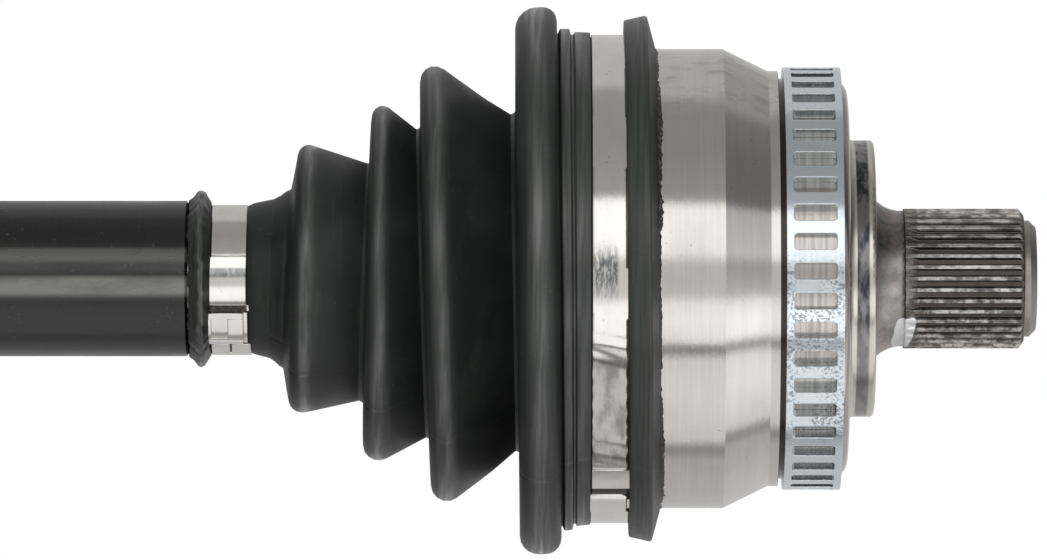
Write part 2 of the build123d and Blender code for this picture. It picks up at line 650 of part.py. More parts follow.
def folds_outside(start, folds):
    """Outline over the folds, from the mouth toward the shaft."""
    path = [start]
    for fold in folds:
        foot, touch, middle = cone_to_crest(path[-1], fold, 0)
        path.append(touch)
        path.append((middle, (fold.face, fold.crest - fold.rounding)))
        path.append((fold.face, fold.foot + CREASE / 2))
        path.append((fold.face + CREASE, fold.foot))
    return path


def folds_inside(start, folds):
    """Outline under the folds, from the shaft back to the mouth, one wall inside the other."""
    starts = [start] + [(fold.face + CREASE, fold.foot) for fold in folds]
    path = []
    for fold, before in zip(reversed(folds), reversed(starts[:-1])):
        foot, touch, middle = cone_to_crest(before, fold, RUBBER)
        path.append((fold.face - RUBBER, fold.foot - RUBBER))
        path.append((fold.face - RUBBER, fold.crest - fold.rounding))
        path.append(middle)
        path.append(touch)
        path.append(foot)
    return path


def narrow_end(last_face):
    """Outline of the narrow end: neck, clamp seat, end bead and the bore back to the last fold."""
    seat_from = last_face + NECK_LENGTH
    seat_to = seat_from + SMALL_SEAT_WIDTH
    end = seat_to + BEAD_WIDTH
    bore = BOOT_SEAT_RADIUS + FIT_GAP
    bead = BOOT_SEAT_RADIUS + BEAD_HEIGHT
    return [
        (last_face + 3.6, bore + 4.6),
        (last_face + 4.0, bore + 3.3),
        (seat_from - 1.4, bore + 3.3),
        (seat_from, SMALL_SEAT_RADIUS),
        (seat_to, SMALL_SEAT_RADIUS),
        (seat_to, bead - 1.0),
        ((seat_to + BEAD_WIDTH / 2, bead), (end, bead - 1.3)),
        (end, bore),
        (last_face + 4.6, bore),
        (last_face + 2.3, bore + 2.4),
    ]


def placed(path, mouth_x, heading):
    """Carry an outline in distances from the mouth to its place along the axle."""
    steps = []
    for step in path:
        if isinstance(step[0], tuple):
            steps.append(tuple((mouth_x + heading * x, r) for x, r in step))
        else:
            steps.append((mouth_x + heading * step[0], step[1]))
    return steps


def outer_boot():
    """Rubber gaiter of the wheel-side joint: lip, clamp seat, collar and four growing folds."""
    bell = BELL_RADIUS + FIT_GAP
    rib = BELL_RADIUS - BOOT_GROOVE_DEPTH + FIT_GAP
    collar = BELL_RADIUS + WHEEL_COLLAR_HEIGHT
    crevice = (WHEEL_COLLAR_END + 0.5, collar - 1.8)
    path = [
        (0, bell),
        (0, bell + 0.5),
        (LIP_SLOPE_LENGTH, BELL_RADIUS + LIP_HEIGHT),
        (WHEEL_SEAT_FROM, BELL_RADIUS + LIP_HEIGHT - 1.2),
        (WHEEL_SEAT_FROM, WHEEL_SEAT_RADIUS),
        (WHEEL_SEAT_TO, WHEEL_SEAT_RADIUS),
        (WHEEL_SEAT_TO, collar - 1.5),
        (WHEEL_SEAT_TO + 3.8, collar - 1.0),
        (WHEEL_SEAT_TO + 4.0, collar),
        (WHEEL_COLLAR_END, collar),
        *folds_outside(crevice, WHEEL_FOLDS),
        *narrow_end(WHEEL_FOLDS[-1].face),
        *folds_inside(crevice, WHEEL_FOLDS),
        (WHEEL_COLLAR_END + 1.4, bell),
        (WHEEL_SEAT_TO - 0.3, bell),
        (WHEEL_SEAT_TO - 0.3, rib),
        (WHEEL_SEAT_FROM + 0.3, rib),
        (WHEEL_SEAT_FROM + 0.3, bell),
    ]
    return turned(*placed(path, WHEEL_MOUTH_X, -1))


def inner_boot():
    """Rubber gaiter of the gearbox-side joint, its mouth filled out to the trilobed housing."""
    rib = GEARBOX_SEAT_RADIUS + GEARBOX_RIB_HEIGHT
    rim = HOUSING_RIM_X + 0.3 - GEARBOX_MOUTH_X
    crevice = (GEARBOX_COLLAR_END + 1.2, GEARBOX_SEAT_RADIUS)
    path = [
        (0, 0),
        (0, rib - 0.8),
        (0.8, rib),
        (GEARBOX_SEAT_FROM, rib),
        (GEARBOX_SEAT_FROM, GEARBOX_SEAT_RADIUS),
        (GEARBOX_SEAT_TO, GEARBOX_SEAT_RADIUS),
        (GEARBOX_SEAT_TO, rib),
        (GEARBOX_COLLAR_END, rib),
        *folds_outside(crevice, GEARBOX_FOLDS),
        *narrow_end(GEARBOX_FOLDS[-1].face),
        *folds_inside(crevice, GEARBOX_FOLDS),
        (rim, GEARBOX_SEAT_RADIUS - 2.6),
        (rim, 0),
    ]
    boot = turned(*placed(path, GEARBOX_MOUTH_X, 1))
    mouth = extrude(Plane.YZ * lobes(FIT_GAP), rim + 10)
    return boot - Pos(GEARBOX_MOUTH_X - 10, 0, 0) * mouth


def band(x_from, x_to, seat_radius):
    """Plain ring of clamp strip on its rubber seat."""
    inner = seat_radius + FIT_GAP
    return sector(x_from, x_to, inner, inner + BAND_THICKNESS, 0, 180) + sector(
        x_from, x_to, inner, inner + BAND_THICKNESS, 180, 360
    )


def large_clamp(x_from, x_to, seat_radius):
    """Low clamp for the wide end of a boot: band, raised band end and hooked closing plate."""
    outer = seat_radius + FIT_GAP + BAND_THICKNESS
    clamp = band(x_from, x_to, seat_radius)
    clamp += sector(x_from, x_to, outer - 0.2, outer + 0.7, *BAND_END)
    clamp += sector(x_from, x_to, outer - 0.2, outer + 1.2, *HOOK_PLATE)
    clamp += sector(x_from + 0.6, x_to - 0.6, outer - 0.2, outer + 0.5, *LOWER_BAND)
    return clamp


def small_clamp(x_from, x_to, seat_radius):
    """Low clamp for the narrow end of a boot: band, overlap and raised closing block."""
    outer = seat_radius + FIT_GAP + BAND_THICKNESS
    clamp = band(x_from, x_to, seat_radius)
    clamp += sector(x_from, x_to, outer - 0.2, outer + 0.35, *SMALL_OVERLAP)
    clamp += sector(x_from, x_to, outer - 0.2, outer + 1.5, *SMALL_BLOCK)
    clamp += sector(x_from, x_to, outer - 0.2, outer + 0.9, *SMALL_PLATE)
    return clamp


def on_trunnion(shape, azimuth):
    """Carry a shape made round the Z axis onto a trunnion of the tripod."""
    return Pos(TRIPOD_X, 0, 0) * on_axis(shape, azimuth)


def turned_on_trunnion(*steps):
    """Turn an outline of (distance from the trunnion line, distance from the axle) about Z."""
    here = steps[0]
    edges = []
    for step in steps[1:]:
        if isinstance(step[0], tuple):
            edges.append(ThreePointArc(here, step[0], step[1]))
            here = step[1]
        else:
            edges.append(Line(here, step))
            here = step
    edges.append(Line(here, steps[0]))
    face = make_face(Curve() + edges)
    return revolve(Plane.XZ * face, Axis.Z)


def tripod_spider():
    """Hub with three ball-ended trunnions and a splined bore."""
    trunnion = turned_on_trunnion(
        (0, SPIDER_ROOT_RADIUS + 2),
        (TRUNNION_NECK_RADIUS, SPIDER_ROOT_RADIUS + 2),
        (TRUNNION_NECK_RADIUS, TRUNNION_CENTRE_RADIUS - TRUNNION_HALF),
        (
            (TRUNNION_BALL_RADIUS, TRUNNION_CENTRE_RADIUS),
            (TRUNNION_NECK_RADIUS, TRUNNION_CENTRE_RADIUS + TRUNNION_HALF),
        ),
        (0, TRUNNION_CENTRE_RADIUS + TRUNNION_HALF),
    )
    spider = turned(
        (SPIDER_BACK_X, 0),
        (SPIDER_BACK_X, SPIDER_HUB_RADIUS - 1.0),
        (SPIDER_BACK_X + 1.0, SPIDER_HUB_RADIUS),
        (SPIDER_FACE_X - 1.0, SPIDER_HUB_RADIUS),
        (SPIDER_FACE_X, SPIDER_HUB_RADIUS - 1.0),
        (SPIDER_FACE_X, 0),
    )
    for azimuth in TRUNNION_AZIMUTHS:
        spider += on_trunnion(trunnion, azimuth)
    bore = spline_prism(
        SPIDER_TEETH,
        SPIDER_ROOT_RADIUS,
        SPIDER_TIP_RADIUS,
        FIT_GAP,
        SPIDER_BACK_X - 1,
        SPIDER_FACE_X + 1,
    )
    return spider - bore


def roller_ring(azimuth):
    """Inner ring that tilts on the ball of its trunnion and carries the needles."""
    ring = turned_on_trunnion(
        (ROLLER_RING_BORE, ROLLER_INNER),
        (ROLLER_RING_RADIUS, ROLLER_INNER),
        (ROLLER_RING_RADIUS, ROLLER_OUTER),
        (ROLLER_RING_BORE, ROLLER_OUTER),
    )
    return on_trunnion(ring, azimuth)


def needles(azimuth):
    """Full set of needles between the inner ring and the roller."""
    length = ROLLER_WIDTH - 2 * ROLLER_LIP - 4 * SEAT_GAP
    needle = Pos(NEEDLE_CENTRE_RADIUS, 0, TRUNNION_CENTRE_RADIUS) * Cylinder(NEEDLE_RADIUS, length)
    turns = [Rot(Z=number * 360 / NEEDLE_COUNT) * needle for number in range(NEEDLE_COUNT)]
    return Compound(children=[on_trunnion(turn, azimuth) for turn in turns])


def roller(azimuth):
    """Outer roller with a lip at each end that holds the needles in."""
    lip = ROLLER_BORE_RADIUS - 1.2 * NEEDLE_RADIUS
    ring = turned_on_trunnion(
        (lip, ROLLER_INNER),
        (ROLLER_RADIUS - ROLLER_CHAMFER, ROLLER_INNER),
        (ROLLER_RADIUS, ROLLER_INNER + ROLLER_CHAMFER),
        (ROLLER_RADIUS, ROLLER_OUTER - ROLLER_CHAMFER),
        (ROLLER_RADIUS - ROLLER_CHAMFER, ROLLER_OUTER),
        (lip, ROLLER_OUTER),
        (lip, ROLLER_OUTER - ROLLER_LIP),
        (ROLLER_BORE_RADIUS, ROLLER_OUTER - ROLLER_LIP),
        (ROLLER_BORE_RADIUS, ROLLER_INNER + ROLLER_LIP),
        (lip, ROLLER_INNER + ROLLER_LIP),
    )
    return on_trunnion(ring, azimuth)


def lobes(growth):
    """Outer cross-section of the tripod housing, looking along the axle."""
    half = LOBE_HALF_WIDTH + growth
    top = LOBE_TOP + growth
    lobe = Pos(top / 2, 0) * Rectangle(top, 2 * half)
    shape = Circle(LOBE_HALF_WIDTH + 3) + [Rot(Z=turn) * lobe for turn in (0, 120, 240)]
    tips = [v for v in shape.vertices() if math.hypot(v.X, v.Y) > LOBE_TOP]
    return fillet(tips, LOBE_ROUNDING)


def slots():
    """Cross-section of the three roller slots and the bore between them."""
    slot = Pos(SLOT_TOP / 2, 0) * Rectangle(SLOT_TOP, 2 * SLOT_HALF_WIDTH)
    shape = Circle(TRIPOD_BORE_RADIUS) + [Rot(Z=turn) * slot for turn in (0, 120, 240)]
    tips = [v for v in shape.vertices() if math.hypot(v.X, v.Y) > SLOT_TOP]
    return fillet(tips, ROLLER_CHAMFER)


def tripod_housing():
    """Trilobed body with a bolting flange, open at both ends."""
    body = Pos(FLANGE_FACE_X, 0, 0) * extrude(
        Plane.YZ * lobes(0), HOUSING_RIM_X - FLANGE_FACE_X
    )
    flange = Circle(FLANGE_RADIUS)
    step = 360 / FLANGE_BOLTS
    flange -= [
        Rot(Z=(number + 0.5) * step) * Pos(FLANGE_RADIUS + SCALLOP_STEP, 0) * Circle(SCALLOP_RADIUS)
        for number in range(FLANGE_BOLTS)
    ]
    flange -= [
        Rot(Z=number * step) * Pos(FLANGE_BOLT_RADIUS, 0) * Circle(FLANGE_HOLE_RADIUS)
        for number in range(FLANGE_BOLTS)
    ]
    body += Pos(FLANGE_FACE_X, 0, 0) * extrude(Plane.YZ * flange, FLANGE_THICKNESS)
    body -= Pos(SEAL_FLOOR_X - 1, 0, 0) * extrude(
        Plane.YZ * slots(), HOUSING_RIM_X - SEAL_FLOOR_X + 2
    )
    body -= rod(FLANGE_FACE_X - 1, SEAL_FLOOR_X, COVER_RECESS_RADIUS)
    body -= turned(
        (HOUSING_RIM_X - RIM_FLARE_LENGTH, 0),
        (HOUSING_RIM_X - RIM_FLARE_LENGTH, TRIPOD_BORE_RADIUS),
        (HOUSING_RIM_X, TRIPOD_BORE_RADIUS + RIM_FLARE),
        (HOUSING_RIM_X + 1, TRIPOD_BORE_RADIUS + RIM_FLARE),
        (HOUSING_RIM_X + 1, 0),
    )
    return body


def cover_seal():
    """Flat rubber ring under the end cover."""
    outer = COVER_RECESS_RADIUS - SEAT_GAP
    return turned(
        (SEAL_FLOOR_X - SEAT_GAP, outer - SEAL_WIDTH),
        (SEAL_FLOOR_X - SEAT_GAP, outer),
        (SEAL_FLOOR_X - SEAT_GAP - SEAL_THICKNESS, outer),
        (SEAL_FLOOR_X - SEAT_GAP - SEAL_THICKNESS, outer - SEAL_WIDTH),
    )


def end_cover():
    """Pressed sheet cover that closes the housing behind the flange face."""
    outer = COVER_RECESS_RADIUS - SEAT_GAP
    front = SEAL_FLOOR_X - 2 * SEAT_GAP - SEAL_THICKNESS
    back = front - COVER_THICKNESS
    return turned(
        (front, outer),
        (back, outer),
        (back, outer - 5.8),
        (back - COVER_DISH, outer - 8.8),
        (back - COVER_DISH, 0),
        (front - COVER_DISH, 0),
        (front - COVER_DISH, outer - 9.5),
        (front, outer - 6.5),
    )


def write(name, shape):
    """Write one node to its own file."""
    shape.label = name
    export_step(shape, os.path.join("parts", name + ".step"))


def main():
    """Build every node and write it."""
    write("outer_joint", outer_joint())
    write("abs_ring", abs_ring())
    write("outer_cage", outer_cage())
    write("outer_race", outer_race())
    for number, azimuth in enumerate(BALL_AZIMUTHS, 1):
        write(f"ball_{number}", joint_ball(azimuth))
    write("hub_circlip", circlip(RACE_FACE_X + SEAT_GAP, RACE_TIP_RADIUS - CIRCLIP_DEPTH))
    write("thrust_ring", thrust_ring())
    write("dished_spring", dished_spring())
    write("wheel_end_journal", wheel_end_journal())
    write("shaft_tube", shaft_tube())
    write("gearbox_end_journal", gearbox_end_journal())
    write("outer_boot", outer_boot())
    clip_x = SPIDER_BACK_X - SEAT_GAP - CIRCLIP_WIDTH
    write("spider_circlip", circlip(clip_x, SPIDER_TIP_RADIUS - CIRCLIP_DEPTH))
    write(
        "outer_boot_large_clamp",
        large_clamp(
            WHEEL_MOUTH_X - WHEEL_SEAT_TO + SEAT_GAP,
            WHEEL_MOUTH_X - WHEEL_SEAT_FROM - SEAT_GAP,
            WHEEL_SEAT_RADIUS,
        ),
    )
    write(
        "outer_boot_small_clamp",
        small_clamp(
            WHEEL_MOUTH_X - WHEEL_NARROW_FROM - SMALL_SEAT_WIDTH + SEAT_GAP,
            WHEEL_MOUTH_X - WHEEL_NARROW_FROM,
            SMALL_SEAT_RADIUS,
        ),
    )
    write("tripod_spider", tripod_spider())
    for number, azimuth in enumerate(TRUNNION_AZIMUTHS, 1):
        write(f"roller_ring_{number}", roller_ring(azimuth))
        write(f"needles_{number}", needles(azimuth))
        write(f"roller_{number}", roller(azimuth))
    write("tripod_housing", tripod_housing())
    write("inner_boot", inner_boot())
    write(
        "inner_boot_large_clamp",
        large_clamp(
            GEARBOX_MOUTH_X + GEARBOX_SEAT_FROM + SEAT_GAP,
            GEARBOX_MOUTH_X + GEARBOX_SEAT_TO - SEAT_GAP,
            GEARBOX_SEAT_RADIUS,
        ),
    )
    write(
        "inner_boot_small_clamp",
        small_clamp(
            GEARBOX_MOUTH_X + GEARBOX_NARROW_FROM,
            GEARBOX_MOUTH_X + GEARBOX_NARROW_FROM + SMALL_SEAT_WIDTH - SEAT_GAP,
            SMALL_SEAT_RADIUS,
        ),
    )
    write("end_cover", end_cover())
    write("cover_seal", cover_seal())


main()
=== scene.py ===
"""Looks of a car's drive shaft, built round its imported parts.

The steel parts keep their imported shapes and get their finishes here. The gaiters, the clamps and
the grease at the gaiter's mouth are new surfaces. Lengths in the classes are millimetres, with X
along the axle toward the wheel and Z up. An azimuth runs from +Z toward +Y, so the camera looks
at azimuth 270.
"""

import logging
import math
from dataclasses import dataclass
from enum import Enum

import bpy
import numpy as np
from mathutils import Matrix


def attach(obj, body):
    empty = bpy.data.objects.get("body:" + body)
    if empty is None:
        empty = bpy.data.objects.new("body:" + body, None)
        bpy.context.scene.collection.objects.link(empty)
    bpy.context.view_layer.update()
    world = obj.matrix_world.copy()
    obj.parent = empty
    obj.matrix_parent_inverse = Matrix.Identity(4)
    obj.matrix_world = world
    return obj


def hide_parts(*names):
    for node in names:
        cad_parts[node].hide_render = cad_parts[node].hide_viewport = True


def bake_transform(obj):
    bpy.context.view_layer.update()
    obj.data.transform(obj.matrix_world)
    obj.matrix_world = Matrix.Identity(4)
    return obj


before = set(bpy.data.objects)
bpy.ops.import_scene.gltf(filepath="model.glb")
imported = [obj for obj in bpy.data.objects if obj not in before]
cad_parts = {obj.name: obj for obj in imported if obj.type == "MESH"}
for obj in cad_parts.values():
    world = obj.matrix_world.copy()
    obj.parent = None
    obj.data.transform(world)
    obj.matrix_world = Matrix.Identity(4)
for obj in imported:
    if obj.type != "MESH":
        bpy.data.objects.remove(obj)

MM = 0.001
LOG = logging.getLogger("drive_shaft")
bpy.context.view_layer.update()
FLOAT, VECTOR = "NodeSocketFloat", "NodeSocketVector"
HALF_TURN, FULL_TURN = math.pi, 2 * math.pi

# Mesh attributes that the rubber's pattern reads.
REST_PLACE = "rest_place"
# The second marks places lightened partly as scuffing and partly as painted highlight.
SCUFF_AND_HIGHLIGHT = "scuff_and_highlight"
# A fold's cone that rises more steeply than this is built upright.
STEEP = 8.0
# Edges that turn by more degrees than this stay sharp.
SHARP_ANGLE = 38.0
# Distance from its mouth where the gearbox gaiter is cut in two.
GAITER_SPLIT = 41.0
# Straight step of an outline, steps of a round corner, and share of a side it may take up.
OUTLINE_STEP = 1.6
ARC_STEPS = 5
SIDE_SHARE = 0.49
# Margins that keep divisions away from zero.
NEARLY = 0.01
TINY = 1e-6
# Bevel of a strip's edges, and its longest step round the axle in degrees.
BEVEL = 0.1
STRIP_STEP = 1.2
# Degrees from a mould line of the columns beside it, and of the nearest even column.
BESIDE_MOULD = (-1.0, -0.6, -0.35, -0.18, 0.0, 0.18, 0.35, 0.6, 1.0)
CLEAR_OF_MOULD = 1.2
# Swellings of the flash: azimuth and spread in degrees, and size.
FLASH_SWELLS = ((312, 22, 1.0), (215, 16, 0.7))

Colour = tuple[float, float, float]


class Body(Enum):
    """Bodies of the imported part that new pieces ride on."""

    BELL = "wheel_bell"
    SHAFT = "shaft"
    SLIDER = "tilt_ring_1"
    HOUSING = "gearbox_housing"


class Slot(Enum):
    """Material slots of the record that new pieces take their finish from."""

    RUBBER = "boot_rubber"
    STRIP = "clamp_steel"


class Value:
    """Output of a node. Arithmetic on it adds Math nodes to its sheet."""

    def __init__(self, sheet: "Sheet", socket: bpy.types.NodeSocket) -> None:
        """Keep the sheet and the socket."""
        self.sheet = sheet
        self.socket = socket

    def __add__(self, other: object) -> "Value":
        """Sum."""
        return self.sheet.maths("ADD", self, other)

    def __sub__(self, other: object) -> "Value":
        """Difference."""
        return self.sheet.maths("SUBTRACT", self, other)

    def __rsub__(self, other: object) -> "Value":
        """Difference from a number."""
        return self.sheet.maths("SUBTRACT", other, self)

    def __mul__(self, other: object) -> "Value":
        """Product."""
        return self.sheet.maths("MULTIPLY", self, other)

    def __truediv__(self, other: object) -> "Value":
        """Quotient."""
        return self.sheet.maths("DIVIDE", self, other)

    def __rtruediv__(self, other: object) -> "Value":
        """Number divided by the value."""
        return self.sheet.maths("DIVIDE", other, self)

    def __pow__(self, other: object) -> "Value":
        """Power."""
        return self.sheet.maths("POWER", self, other)

    def __abs__(self) -> "Value":
        """Size without its sign."""
        return self.sheet.maths("ABSOLUTE", self)


class Sheet:
    """Adds nodes to one node tree and joins them."""

    def __init__(self, tree: bpy.types.NodeTree) -> None:
        """Take the tree of a material, a group or the world."""
        self.tree = tree

    def node(self, kind: str, **settings: object) -> bpy.types.Node:
        """Add a node.

        Args:
            kind: type name of the node.
            settings: properties to set on it.

        Returns:
            The new node.
        """
        made = self.tree.nodes.new(kind)
        for name, value in settings.items():
            setattr(made, name, value)
        return made

    def fed(self, kind: str, *values: object, **settings: object) -> bpy.types.Node:
        """Add a node and feed its inputs in order.

        Args:
            kind: type name of the node.
            values: its inputs, from the first.
            settings: properties to set on it.

        Returns:
            The new node.
        """
        made = self.node(kind, **settings)
        for socket, value in zip(made.inputs, values):
            self.feed(socket, value)
        return made

    def out(self, node: bpy.types.Node, key: int | str = 0) -> Value:
        """Output of a node, by number or name."""
        return Value(self, node.outputs[key])

    def feed(self, socket: bpy.types.NodeSocket, value: object) -> None:
        """Join an output to an input, or write a plain value on it.

        Args:
            socket: input socket.
            value: value, output socket, number or tuple; a colour may leave its alpha out.
        """
        value = getattr(value, "socket", value)
        if isinstance(value, bpy.types.NodeSocket):
            self.tree.links.new(value, socket)
        elif socket.type == "RGBA" and len(value) == 3:
            socket.default_value = (*value, 1.0)
        else:
            socket.default_value = value

    def maths(self, operation: str, *values: object, clamp: bool = False) -> Value:
        """Add a Math node.

        Args:
            operation: its operation.
            values: its inputs.
            clamp: keep the result between 0 and 1.

        Returns:
            Its output.
        """
        return self.out(self.fed("ShaderNodeMath", *values, operation=operation, use_clamp=clamp))

    def product(self, first: object, second: object, operation: str = "MULTIPLY") -> bpy.types.Node:
        """Add a Vector Math node, usually the product part by part."""
        return self.fed("ShaderNodeVectorMath", first, second, operation=operation)

    def scaled(self, vector: object, *factors: float) -> Value:
        """Vector with each part multiplied by its own factor."""
        return self.out(self.product(vector, factors))

    def split(self, vector: object) -> tuple[Value, Value, Value]:
        """Parts of a vector."""
        made = self.fed("ShaderNodeSeparateXYZ", vector)
        return self.out(made, 0), self.out(made, 1), self.out(made, 2)

    def noise(self, vector: object, scale: object, detail: float = 3.0, rough: float = 0.5) -> Value:
        """Add fractal noise.

        Args:
            vector: place to read it at.
            scale: waves per unit.
            detail: octaves.
            rough: strength of each finer octave.

        Returns:
            Its value, about 0.5 on average.
        """
        made = self.node("ShaderNodeTexNoise")
        for name, value in zip(("Vector", "Scale", "Detail", "Roughness"), (vector, scale, detail, rough)):
            self.feed(made.inputs[name], value)
        return self.out(made, "Fac")

    def ramp(
        self, value: object, low: object, high: object, start: object = 0.0, end: object = 1.0
    ) -> Value:
        """Map a range smoothly.

        Args:
            value: input.
            low: input that gives start.
            high: input that gives end.
            start: result at low.
            end: result at high.

        Returns:
            The mapped value.
        """
        values = (value, low, high, start, end)
        return self.out(self.fed("ShaderNodeMapRange", *values, interpolation_type="SMOOTHSTEP"))

    def band(self, value: object, rise: tuple[float, float], fall: tuple[float, float]) -> Value:
        """Mask that rises over one range of a value and falls over a later one."""
        return self.ramp(value, *rise) * self.ramp(value, *fall, 1.0, 0.0)

    def mix(self, factor: object, first: object, second: object) -> Value:
        """Mix two colours: factor 0 gives the first, 1 the second."""
        made = self.node("ShaderNodeMix", data_type="RGBA")
        for number, value in zip((0, 6, 7), (factor, first, second)):
            self.feed(made.inputs[number], value)
        return self.out(made, 2)

    def blend(self, factor: object, first: object, second: object) -> Value:
        """Mix two numbers: factor 0 gives the first, 1 the second."""
        made = self.node("ShaderNodeMix", data_type="FLOAT")
        for number, value in zip((0, 2, 3), (factor, first, second)):
            self.feed(made.inputs[number], value)
        return self.out(made)

    def bump(self, height: object, strength: float, depth: float, under: object = None) -> Value:
        """Turn a height into a normal.

        Args:
            height: height from 0 to 1.
            strength: strength of the effect.
            depth: depth of the relief in millimetres.
            under: normal to start from.

        Returns:
            The normal.
        """
        made = self.node("ShaderNodeBump")
        made.inputs["Strength"].default_value = strength
        made.inputs["Distance"].default_value = depth * MM
        self.feed(made.inputs["Height"], height)
        if under is not None:
            self.feed(made.inputs["Normal"], under)
        return self.out(made)

    def group(self, tree: bpy.types.NodeTree, **inputs: object) -> bpy.types.Node:
        """Place a node group and feed its inputs by name."""
        made = self.node("ShaderNodeGroup")
        made.node_tree = tree
        for name, value in inputs.items():
            self.feed(made.inputs[name], value)
        return made


class Effect(Sheet):
    """Sheet of a shader node group with named sockets."""

    def __init__(self, name: str, outputs: tuple[str, ...], **inputs: float | None) -> None:
        """Start the group.

        Args:
            name: name of the group.
            outputs: names of its outputs; one called Normal is a vector.
            inputs: usual values of its inputs; an input without one is a vector.
        """
        super().__init__(bpy.data.node_groups.new(name, "ShaderNodeTree"))
        face = self.tree.interface
        for label, usual in inputs.items():
            kind = VECTOR if usual is None else FLOAT
            socket = face.new_socket(name=label, in_out="INPUT", socket_type=kind)
            if usual is not None:
                socket.default_value = usual
        for label in outputs:
            kind = VECTOR if label == "Normal" else FLOAT
            face.new_socket(name=label, in_out="OUTPUT", socket_type=kind)
        self.given = self.node("NodeGroupInput")
        self.made = self.node("NodeGroupOutput")

    def take(self, *names: str) -> list[Value]:
        """Inputs by name."""
        return [self.out(self.given, name) for name in names]

    def give(self, **values: object) -> bpy.types.NodeTree:
        """Feed the outputs by name.

        Args:
            values: what each output gives.

        Returns:
            The finished tree.
        """
        for name, value in values.items():
            self.feed(self.made.inputs[name], value)
        return self.tree


class Effects:
    """Shared shader effects, each built once as a node group."""

    def __init__(self) -> None:
        """Build every group."""
        self.axle = self.axle_place()
        self.turning = self.turning_marks()
        self.zone = self.axle_zone()
        self.specks = self.speck_field()
        self.wear = self.edge_abrasion_and_highlight()

    def axle_place(self) -> bpy.types.NodeTree:
        """Place along the axle and radius in millimetres, and the direction outwards."""
        effect = Effect("axle_place", ("Along", "Radius", "Up", "Side"), Place=None)
        x, y, z = effect.split(effect.scaled(*effect.take("Place"), 1000, 1000, 1000))
        radius = effect.maths("SQRT", y * y + z * z + 0.0001)
        return effect.give(Along=x, Radius=radius, Up=z / radius, Side=y / radius)

    def turning_marks(self) -> bpy.types.NodeTree:
        """Fine lines that run round the axle, as a lathe leaves them.

        The noise is read at (along plus radius, direction outwards), squeezed so that it changes
        quickly along the axle and slowly round it.
        """
        effect = Effect("turning_marks", ("Height",), Place=None, Lines=3.0, Breaks=2.0, Offset=0.0)
        place, lines, breaks, offset = effect.take("Place", "Lines", "Breaks", "Offset")
        axle = effect.group(self.axle, Place=place)
        across = (effect.out(axle, "Along") + effect.out(axle, "Radius")) * lines + offset
        parts = (across, effect.out(axle, "Up") * breaks, effect.out(axle, "Side") * breaks)
        spot = effect.fed("ShaderNodeCombineXYZ", *parts)
        return effect.give(Height=effect.noise(effect.out(spot), 1.0, 4.0, 0.6))

    def axle_zone(self) -> bpy.types.NodeTree:
        """Mask of a stretch of the axle with soft edges."""
        effect = Effect("axle_zone", ("Mask",), Place=None, From=0.0, To=1.0, Blur=0.1)
        place, start, end, blur = effect.take("Place", "From", "To", "Blur")
        along = effect.out(effect.group(self.axle, Place=place), "Along")
        return effect.give(Mask=effect.band(along, (start - blur, start), (end, end + blur)))

    def speck_field(self) -> bpy.types.NodeTree:
        """Mask of sparse specks of dust or pitting, of which a wide noise lets more or fewer."""
        effect = Effect("speck_field", ("Mask",), Place=None, Size=1.0, Share=0.3)
        place, size, share = effect.take("Place", "Size", "Share")
        scale = 1000.0 / size
        fine = effect.noise(place, scale, 2.0, 0.6)
        wide = effect.noise(place, scale * 0.12, 2.0, 0.5)
        level = (0.5 - wide) * 0.5 + ((1.0 - share) * 0.35 + 0.42)
        return effect.give(Mask=effect.ramp(fine, level, level + 0.06))

    def edge_abrasion_and_highlight(self) -> bpy.types.NodeTree:
        """Mask of the edges, where the rounded normal leaves the plain one, and that normal."""
        effect = Effect("edge_abrasion_and_highlight", ("Mask", "Normal"), Radius=0.3, Gain=4.0)
        radius, gain = effect.take("Radius", "Gain")
        rounded = effect.fed("ShaderNodeBevel", radius * MM, samples=6)
        plain = effect.out(effect.node("ShaderNodeNewGeometry"), "Normal")
        alike = effect.out(effect.product(effect.out(rounded), plain, "DOT_PRODUCT"), "Value")
        mask = effect.maths("MULTIPLY", 1.0 - alike, gain, clamp=True)
        return effect.give(Mask=mask, Normal=effect.out(rounded))


